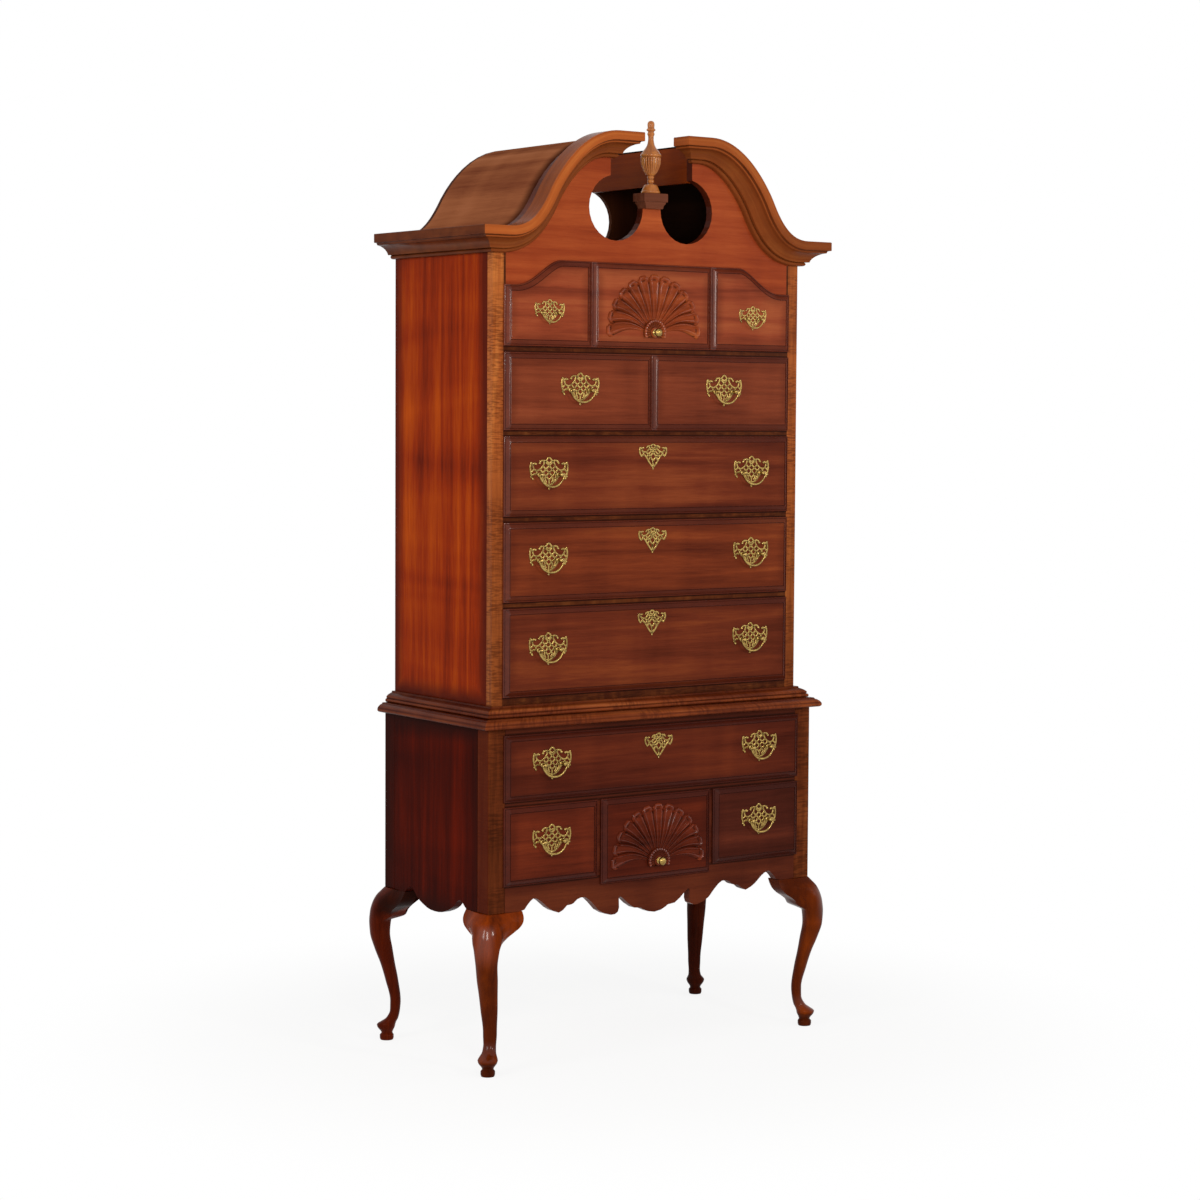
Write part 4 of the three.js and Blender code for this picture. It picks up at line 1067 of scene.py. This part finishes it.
def rim_shade(wood, x, y, z):
    """Edge toning by the distance in from a front's own edge, which its mesh carries, with painted
    shade on its bevelled border and in its grooves.
    """
    inward = wood.parts(wood.carried("grain"))[1]
    dark = sum(inward.at(girth, 0.0003, 0.0012) for girth in groove_girths) * 0.5
    return (inward.fall(0.024, 0.05) * 0.35
            + inward.fall(border_girth - 0.0015, border_girth) * 0.32 + dark)


def rim_shine(lefts, extra):
    """Thicker lacquer on a front's bevels, most of all on those down the left of its panels."""
    def shine(wood, x, y, z):
        inward = wood.parts(wood.carried("grain"))[1]
        left = sum(x.at((edge + border_wide / 2) / 1000, 0.0075, 0.0085) for edge in lefts)
        return inward.fall(border_girth - 0.001, border_girth + 0.0005) * (left * extra + 0.05)
    return shine


box_wood = timber("drawer box poplar", ("9c7a4c", "c2a06c", "d8bd8c"), "y", 17.0, broad=11.0,
                  contrast=0.7, gloss=0.5, lacquer=0.0)
# Foot, height, front, the panels' edges, the rise of a shaped top, and the wood's tones
# The tones are each front's own colour, darkened as painted shade down the case and on the right of the
# lower case.
drawer_rows = {
    "top_shell": (1635.5, 136.5, upper_front, (-front_half, -170, 170, front_half), 58,
                  ("5b2216", "8b3e25", "a65733")),
    "upper_2": (1447, 175, upper_front, (-front_half, 0, front_half), 0,
                ("4f1f13", "793721", "91492c")),
    "upper_3": (1253.5, 180, upper_front, (-front_half, front_half), 0,
                ("42170f", "692c19", "8a4324")),
    "upper_4": (1060.5, 179.5, upper_front, (-front_half, front_half), 0,
                ("4a1b10", "74321a", "964a23")),
    "upper_5": (846.5, 200.5, upper_front, (-front_half, front_half), 0,
                ("40170d", "652a18", "884220")),
    "lower_wide": (614, 151.5, 0, (-lower_front_half, lower_front_half), 0,
                   ("361009", "562113", "713019")),
    "lower_left": (424, 179, 0, (-lower_front_half, -165.6), 0, ("3a130b", "632514", "83361a")),
    "lower_shell": (406, 197, 0, (-156, 156), 0, ("310d07", "521c0f", "712b15")),
    "lower_right": (424, 179, 0, (165.6, lower_front_half), 0, ("2d0f09", "491d13", "642b1b")),
}
for seed, (label, (foot, high, front, edges, rise, tones)) in enumerate(drawer_rows.items()):
    finish = timber(f"{label} front cherry", tones, "x", 20.0 + seed, broad=19.0, contrast=1.05,
                    gloss=0.27, lacquer=0.01, shade=rim_shade,
                    shine=rim_shine(edges[:-1], 0.36 if front else 0.12),
                    shade_tone="461a10" if front else "3a140d")
    meshes = []
    for x0, x1 in zip(edges, edges[1:]):
        path = border_path(shaped_top(x0, x1, foot, foot + high, rise), front)
        meshes += [moulding(path, border, front_caps, finish),
                   field_mesh(path, x0, x1, foot, foot + high, rise, front)]
    x0, x1 = edges[0] + slack, edges[-1] - slack
    inner = shaped_top(x0, x1, foot + slack, foot + high - slack, rise)
    meshes.append(form(*skin([[(x, y, z) for x, z in inner] for y in (front - 1, front + box_wall)])))
    settle(f"front_{label}", joined(meshes), [finish], f"drawer_{label}",
           [f"drawer_{label}"], crisp=24)
    low, top = foot + lip + 0.3, foot + high - lip - box_head
    start, back = front + box_wall, front + box_deep
    walls = [(x0, x0 + box_wall, start, back, low, top), (x1 - box_wall, x1, start, back, low, top),
             (x0, x1, back - box_wall, back, low, top),
             (x0 + box_wall / 2, x1 - box_wall / 2, front + 8, back - box_wall / 2,
              low + bottom_lift, low + bottom_lift + bottom_thick)]
    settle(f"box_{label}", joined([slab(*wall, box_chamfer) for wall in walls]), [box_wood],
           f"drawer_{label}")

# The carved shells
# Two fans of thirteen hollow rays carved from the solid of their fronts, whose tips curl over.
# Round each knob is a scalloped rosette with a ring of small beads.

shell_rays = 13
shell_droop = 6
shell_radius = 134
shell_deep = 6
shell_bow = 0.013
shell_across = 16
shell_along = 48
hub_radius = 30
hub_deep = 7
hub_foot = 11
hub_sides = 160
hub_flutes = 11
flute_deep = 1.3
scallop = 0.035
bead_count = 17
bead_radius = 3.0
bead_lift = 1.6
knob_sides = 40


def shell_tree():
    """Shape nodes for a fan of rays. Across runs round the fan and along runs from hub to rim."""
    shape, _, radius, hub, rays, droop, depth, bow, finish = shape_tree(
        "carved fan", Host="Geometry", Radius="Float", Hub="Float", Rays="Float", Droop="Float",
        Depth="Float", Bow="Float")
    stations, steps = shell_rays * shell_across + 1, shell_along + 1
    sheet = shape.node("GeometryNodeMeshGrid", {"Vertices X": stations, "Vertices Y": steps})
    index = shape.node("GeometryNodeInputIndex")
    station = shape.math("FLOOR", index / steps)
    along = (index - station * steps) / shell_along

    def bell(value, middle, width):
        away = (value - middle) / width
        return shape.math("POWER", 2.718, away * away * -1)

    across = station / (stations - 1)
    edge = (shape.math("FRACT", across * rays) * 2 - 1).absolute()
    turn = (across * (180 + 2 * droop) - droop) * (math.pi / 180)
    out = (along / 0.96).least(1.0)
    rim = 1 - edge.rise(0.46, 0.64) * 0.03 - edge.rise(0.84, 1.0) * 0.04 - edge * edge * 0.015
    start = hub * 0.6
    reach = start + (radius * rim - start) * out
    cosine, sine = shape.math("COSINE", turn), shape.math("SINE", turn)
    lift = bow * shape.math("SINE", out * math.pi) * cosine.absolute() ** 3
    section = (0.22 + bell(edge, 0.56, 0.17) * 0.78) * edge.fall(0.76, 1.0)
    roll = bell(out, 0.955, 0.03) * (1 - edge * edge * 0.55)
    dip = bell(out, 0.895, 0.018) * 0.2
    swell = out.rise(0.05, 0.5) * 0.55 + 0.45
    body = section * swell * (1 - out.rise(0.88, 0.94) * 0.75)
    past = along.rise(0.96, 0.985)
    height = depth * (body + roll * 1.05 - dip).most(0.0) * (1 - past) - past * 0.0015
    spot = shape.node("ShaderNodeCombineXYZ", {
        0: reach * cosine, 1: height * -1, 2: reach * sine + lift})
    placed = shape.node("GeometryNodeSetPosition", {"Geometry": sheet, "Position": spot})
    # The relief carried here keys the painted shade in the grooves and the thicker lacquer on the
    # ridges and tips.
    wear_and_relief_shade = shape.node("ShaderNodeCombineXYZ", {0: section.most(roll) - dip, 1: out, 2: roll})
    return end_tree(shape, shape.store(placed, "relief", wear_and_relief_shade), finish)


def bead_tree():
    """Shape nodes for an arc of beads round the Y axis."""
    shape, _, count, ring, bead, finish = shape_tree(
        "bead ring", Host="Geometry", Count="Int", Ring="Float", Bead="Float")
    arc = shape.node("GeometryNodeCurveArc", {
        "Resolution": count, "Radius": ring, "Start Angle": math.radians(-20),
        "Sweep Angle": math.radians(220)})
    ball = shape.node("GeometryNodeMeshIcoSphere", {"Radius": bead, "Subdivisions": 3})
    beads = shape.node("GeometryNodeInstanceOnPoints", {
        "Points": arc, "Instance": shape.store(ball, "relief", (1.0, 0.5, 1.0))})
    stood = shape.node("GeometryNodeTransform", {"Geometry": beads, "Rotation": (math.pi / 2, 0, 0)})
    return end_tree(shape, stood, finish)


def relief_shade(wood, x, y, z):
    """Painted shade in the grooves of the carving and along its rim."""
    ridge, out, roll = wood.parts(wood.carried("relief"))
    return ridge.fall(0.02, 0.24) * 0.7 + out.rise(0.985, 1.0) * 0.3


def relief_shine(wood, x, y, z):
    """Thicker lacquer on the ridges of the carving, and most of all on its curled tips."""
    ridge, out, roll = wood.parts(wood.carried("relief"))
    return ridge.rise(0.55, 0.95) * 0.45 + roll.rise(0.5, 0.9) * 0.5


def turning(profile, sides, centre=(0, 0, 0), back=0):
    """A turning whose axis points forward from its centre; profile holds radius and reach."""
    x, y, z = centre
    rings = [[(x + r * math.cos(turn), y - reach, z + r * math.sin(turn)) for turn in turns(sides)]
             for r, reach in profile]
    return form(*skin(rings), back=back)


def metal(name, tone, wear_and_relief_shade, recess, roughness=0.26):
    """Cast brass, browned in patches and rubbed bright in others."""
    made, cast = blank(name)
    cloud, grit = cast.noise(cast.place(), 130.0, 3.0), cast.noise(cast.place(), 700.0, 2.0)
    tint = cast.blend(cloud.rise(0.3, 0.6), colour(recess), colour(tone))
    tint = cast.blend(grit.rise(0.5, 0.75) * 0.5, tint, colour(wear_and_relief_shade))
    bump = cast.node("ShaderNodeBump", {"Strength": 0.15, "Distance": 0.0003,
                                        "Height": cloud * 0.6 + grit * 0.4})
    surface = cast.node("ShaderNodeBsdfPrincipled", {
        "Base Color": tint, "Metallic": 1.0, "Roughness": roughness + (cloud - 0.5) * 0.3,
        "Normal": bump})
    cast.node("ShaderNodeOutputMaterial", {0: surface})
    return made


def rosette(level, lift):
    """The scalloped hub of a fan, cut off level below, with painted shade on its walls and in its
    flutes.
    """
    rings, depths = [], []
    for r, reach in [(hub_radius, 0), (hub_radius, 5), (hub_radius - 0.8, 6.2), (25, 6.6),
                     (23.4, 4.2), (19, 2.6), (14, 2.8), (12.2, 5), (11, hub_deep), (1, hub_deep)]:
        ring = []
        for angle in turns(hub_sides):
            flute = abs(math.sin(angle * hub_flutes))
            fluted = 1 if 12.5 < r < 24 else 0
            radius = r * (1 - scallop * (1 - flute)) if r > 24.5 else r
            low = -math.sin(angle) * radius
            if low > hub_foot and r > 12.5:
                radius *= hub_foot / low
            ring.append((radius * math.cos(angle), level - reach - fluted * flute_deep * flute,
                         lift + radius * math.sin(angle)))
            tone = 0 if reach < 6 and not fluted else 0.02 + 0.14 * flute if fluted else 0.5
            depths.append((tone, 0.5, 0.7 if tone >= 0.5 else 0))
        rings.append(ring)
    return carry(form(*skin(rings)), relief=depths)


brass = metal("antique brass", "a68a4a", "e4d09c", "7c6030")
knob_brass = metal("knob brass", "a28646", "e4cc94", "7c6030", 0.2)
knob_profile = [(7.6, 0), (7.6, 0.8)] + bent([(6.4, 1.6), (4.6, 2.6), (4, 4), (4.6, 5.8), (6.8, 7.4),
                                              (9, 9.4), (9.8, 12), (9.2, 15), (7, 17.6), (3.8, 19.2),
                                              (0.4, 19.6)], 4)
fan_tree, ring_tree = shell_tree(), bead_tree()
# The shells' tones are their own colour, the lower one's darkened as painted shade.
for label, row, lift, tones in (
        ("upper", "top_shell", 1672.5, ("52200f", "8f3f1f", "b4602f")),
        ("lower", "lower_shell", 449, ("35110a", "6a2815", "8c3d20"))):
    level = drawer_rows[row][2] - field_proud
    finish = timber(f"{label} shell cherry", tones, "x", 31.0 + lift / 1000, broad=22.0, gloss=0.2,
                    shade=relief_shade, shade_tone="260b06", shine=relief_shine)
    fan = shaped(fan_tree, form(()), Radius=shell_radius / 1000, Hub=hub_radius / 1000,
                 Rays=float(shell_rays), Droop=float(shell_droop), Depth=shell_deep / 1000,
                 Bow=shell_bow, Finish=finish)
    beads = shaped(ring_tree, form(()), Count=bead_count, Ring=(hub_radius - bead_radius) / 1000,
                   Bead=bead_radius / 1000, Finish=finish)
    for mesh, forward in ((fan, 0), (beads, shell_deep + bead_lift)):
        mesh.transform(Matrix.Translation((0, (front_plane + level - forward) / 1000, lift / 1000)))
    settle(f"carved_shell_{label}", joined([fan, beads, rosette(level, lift)]), [finish],
           f"drawer_{row}", crisp=50)
    knob = turning(knob_profile, knob_sides, (0, level - hub_deep, lift), front_plane)
    settle(f"turned_knob_{label}", knob, [knob_brass], f"drawer_{row}", [f"knob_{row}"],
           crisp=40)

# The pulls and keyhole plates
# Cast brass plates, pierced so that thin bars cross over the wood, each with two turned posts that
# hold a swinging bail. The small pulls of the top front are cast to the same pattern.

post_half = 26
post_sides = 28
pivot_reach = 13.5
bail_sides = 14
bail_radius = 1.7
bar_wide = 4.1
bar_high = 2.2
thin_share = 0.64
small_share = 0.77
plate_sink = 0.6

plate_bars = [
    [(0, 38.5), (3.2, 37), (6, 33.6), (9, 30.6), (12.5, 29.4)],
    [(9.5, 30), (13.5, 31.6), (18, 32), (22.5, 30.4), (25.6, 26.8)],
    [(12.5, 29.4), (14.4, 24), (18, 18.4), (23, 13.6), (29, 10.4), (35, 9.8), (40.2, 12.6)],
    [(40.2, 12.6), (43, 17.4), (43, 22.4), (39.8, 25.6), (35.6, 25)],
    [(43, 21), (45.6, 25), (48.4, 27)],
    [(48.4, 27), (50.2, 20), (50.6, 12), (49, 4), (46.4, -3), (43.8, -9)],
    [(40.2, 12.6), (45, 9), (49, 5)],
    [(35, 9.8), (33, 4), (36.4, 1.2), (41, 1.6), (44.8, -1.4)],
    [(46.4, -3), (48.6, -4.4)],
    [(33, 4), (27, 0), (24, -5), (19.6, -11.4), (13.4, -17.4), (6.4, -21.6), (0, -23.6)],
    [(0, -11.6), (0, -23.6), (0, -31.6)],
    [(0, 26), (4.4, 28.4), (9.5, 30)],
]
plate_lattice = [
    [(-8.5, 27.6), (0, 19.8), (8.5, 12), (17, 4.2), (22.5, -0.8)],
    [(-17, 19.8), (-8.5, 12), (0, 4.2), (8.5, -3.6), (10.4, -10), (7, -17.6)],
    [(-24.6, 12.2), (-17, 4.2), (-8.5, -3.6), (0, -11.6)],
    [(17, 4.2), (19, -2.4), (16.4, -9.6), (12.4, -16.4)],
]
plate_beads = [(0, 38.6, 2.4), (25.2, 26.4, 3.2), (17, 32.4, 2.4), (35.6, 24.4, 3.1),
               (48.2, 27, 2.9), (43.8, -9, 3), (48.6, -4.4, 2.2), (0, -32, 2.4), (0, -24, 2.6),
               (0, 26, 2.2), (40.6, 12.4, 2.6)]
keyhole_bars = [
    [(0, 28), (3.4, 26.6), (6.4, 23.6), (9.6, 22)],
    [(7, 22.4), (11, 24), (15, 23.4), (18.6, 20.6)],
    [(9.6, 22), (12, 17), (17, 12.4), (23, 10.2), (28.6, 11)],
    [(28.6, 11), (32, 14.6), (31, 19), (27.4, 20.2)],
    [(31.6, 16), (34.4, 19.4), (37, 20.4)],
    [(37, 20.4), (38.4, 13), (36.6, 6), (32.6, 0.6)],
    [(28.6, 11), (27, 5.6), (31, 1.8)],
    [(27, 5.6), (21, 0.6), (15.6, -6.6), (10, -14.6), (4.6, -21), (0, -24.6)],
    [(0, -16), (0, -24.6), (0, -28)],
    [(0, 18.6), (4, 20.6), (7, 22.4)],
]
keyhole_lattice = [
    [(-10.6, 19), (-4, 13), (4, 5), (10, -2.4), (13, -9)],
    [(-19, 9), (-12, 3), (-5, -4.4), (0, -11), (0, -16)],
    [(-1, 18.4), (6, 12), (13, 5.4), (19, -1)],
]
keyhole_beads = [(0, 28, 2), (18.6, 20, 2.1), (27, 20, 2), (37.2, 20.6, 1.9), (32.4, 0.4, 2.1),
                 (0, -28.6, 2.1), (0, 18.6, 2.1)]


def plate_tree():
    """Shape nodes for a pierced plate: a bar along every drawn line and a bead where marked."""
    shape, drawing, wide, high, finish = shape_tree(
        "pierced plate", Drawing="Geometry", Width="Float", Height="Float")
    girth, bead = (shape.node("GeometryNodeInputNamedAttribute", {"Name": name}, data_type="FLOAT")
                   for name in ("girth", "bead"))
    drawn = shape.node("GeometryNodeMeshToCurve", {"Mesh": drawing})
    lines = shape.node("GeometryNodeSetCurveRadius", {"Curve": drawn, "Radius": girth})
    upright = shape.node("GeometryNodeSetCurveNormal", {"Curve": lines}, mode="Z_UP")
    strip = shape.node("GeometryNodeCurvePrimitiveQuadrilateral", {"Width": wide, "Height": high},
                       mode="RECTANGLE")
    eased = shape.node("GeometryNodeFilletCurve", {"Curve": strip, "Radius": high * 0.3, "Count": 2},
                       mode="POLY")
    bars = shape.node("GeometryNodeCurveToMesh", {"Curve": upright, "Profile Curve": eased,
                                                  "Fill Caps": True})
    marked = shape.node("FunctionNodeCompare", {0: bead, 1: 0.0}, data_type="FLOAT",
                        operation="GREATER_THAN")
    ball = shape.node("GeometryNodeMeshIcoSphere", {"Radius": 1.0, "Subdivisions": 2})
    beads = shape.node("GeometryNodeInstanceOnPoints", {
        "Points": drawing, "Selection": marked, "Instance": ball, "Scale": bead})
    both = shape.node("GeometryNodeJoinGeometry", {0: [bars, beads]})
    return end_tree(shape, both, finish)


def pierced(tree, bars, thin, beads):
    """The mesh of a plate, standing, from bars, thinner bars and beads drawn for its right half."""
    points, edges, sizes, shares = [], [], [], []
    for side in (1, -1):
        for bar in bars + thin:
            line = bent(bar, 3)
            edges += [(len(points) + i, len(points) + i + 1) for i in range(len(line) - 1)]
            points += [(side * x, z, 0) for x, z in line]
            sizes += [0.0] * len(line)
            shares += [thin_share if bar in thin else 1.0] * len(line)
        for x, z, size in beads:
            points.append((side * x, z, 0))
            sizes.append(size / 1000)
            shares.append(1.0)
    drawing = carry(form(points, (), edges, 0), bead=sizes, girth=shares)
    made = shaped(tree, drawing, Width=bar_wide / 1000, Height=bar_high / 1000, Finish=brass)
    made.transform(Matrix.Rotation(math.pi / 2, 4, "X"))
    return made


post_profile = [(5.4, 0), (5.4, 1.4)] + bent([(4.8, 2.2), (3.4, 3.4), (2.9, 6), (3.0, 8.6),
                                              (4.2, 10.4), (4.7, 13), (4.2, 15.6), (2.6, 17.4),
                                              (0.3, 18)], 3)
bail_half = [(29.6, 0), (31.6, 0)] + bent([(33.0, -0.6), (32.4, -4), (30.2, -9.4), (27, -14),
                                           (22.6, -18.8), (17, -22.8), (11, -25.6), (5, -26.8),
                                           (0, -27)], 3)
bail_line = bail_half + [(-x, z) for x, z in bail_half[-2::-1]]


def bail_mesh():
    """The bail as a round rod that thickens towards its grip."""
    rings = []
    for i, (x, z) in enumerate(bail_line):
        before, after = bail_line[max(i - 1, 0)], bail_line[min(i + 1, len(bail_line) - 1)]
        along = (Vector(after) - Vector(before)).normalized()
        radius = bail_radius + max(0, min(1, -z / 30)) ** 2
        rings.append([(x - along.y * radius * math.cos(turn), -pivot_reach + radius * math.sin(turn),
                       z + along.x * radius * math.cos(turn)) for turn in turns(bail_sides)])
    return form(*skin(rings), back=0)


def pair(x):
    """The same place on the left and on the right."""
    return {"_left": -x, "_right": x}


def hung(mesh, x, level, z, size=1.0):
    """A copy of a mesh, moved to its place on a front."""
    made = mesh.copy()
    made.transform(Matrix.Translation((x / 1000, (front_plane + level) / 1000, z / 1000))
                   @ Matrix.Scale(size, 4))
    return made


plate_shapes = plate_tree()
plate = pierced(plate_shapes, plate_bars, plate_lattice, plate_beads)
keyhole = pierced(plate_shapes, keyhole_bars, keyhole_lattice, keyhole_beads)
posts = [turning(post_profile, post_sides, (x, 0, 0)) for x in (-post_half, post_half)]
bail = bail_mesh()
# Where the pulls stand across their front, the share of its height, and the size
pulls = {
    "top_shell": (pair(289), 0.55, small_share), "upper_2": (pair(205.011), 0.52, 1),
    "upper_3": (pair(289), 0.52, 1), "upper_4": (pair(289), 0.52, 1), "upper_5": (pair(289), 0.52, 1),
    "lower_wide": (pair(297), 0.53, 1), "lower_left": ({"": -297}, 0.53, 1),
    "lower_right": ({"": 297}, 0.53, 1),
}
for label, (sides, up, size) in pulls.items():
    foot, high, front = drawer_rows[label][:3]
    level, z = front - field_proud, foot + high * up
    meshes = []
    for side, x in sides.items():
        meshes.append(hung(plate, x, level - plate_sink, z, size))
        meshes += [hung(post, x, level, z, size) for post in posts]
        settle(f"swing_{label}{side}", hung(bail, x, level, z, size), [brass], f"bail_{label}{side}",
               [f"bail_{label}{side}"], crisp=50)
    settle(f"plates_{label}", joined(meshes), [brass], f"drawer_{label}",
           [f"pull_plate_{label}{side}" for side in sides], crisp=60)
for label, z in (("upper_3", 1387), ("upper_4", 1193.5), ("upper_5", 1002), ("lower_wide", 718)):
    level = drawer_rows[label][2] - field_proud
    settle(f"keyhole_plate_{label}", hung(keyhole, 0, level - plate_sink, z), [brass],
           f"drawer_{label}", crisp=60)

size = {"cad": [list(c) for c in cad_box], "visual": [list(c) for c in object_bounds()]}
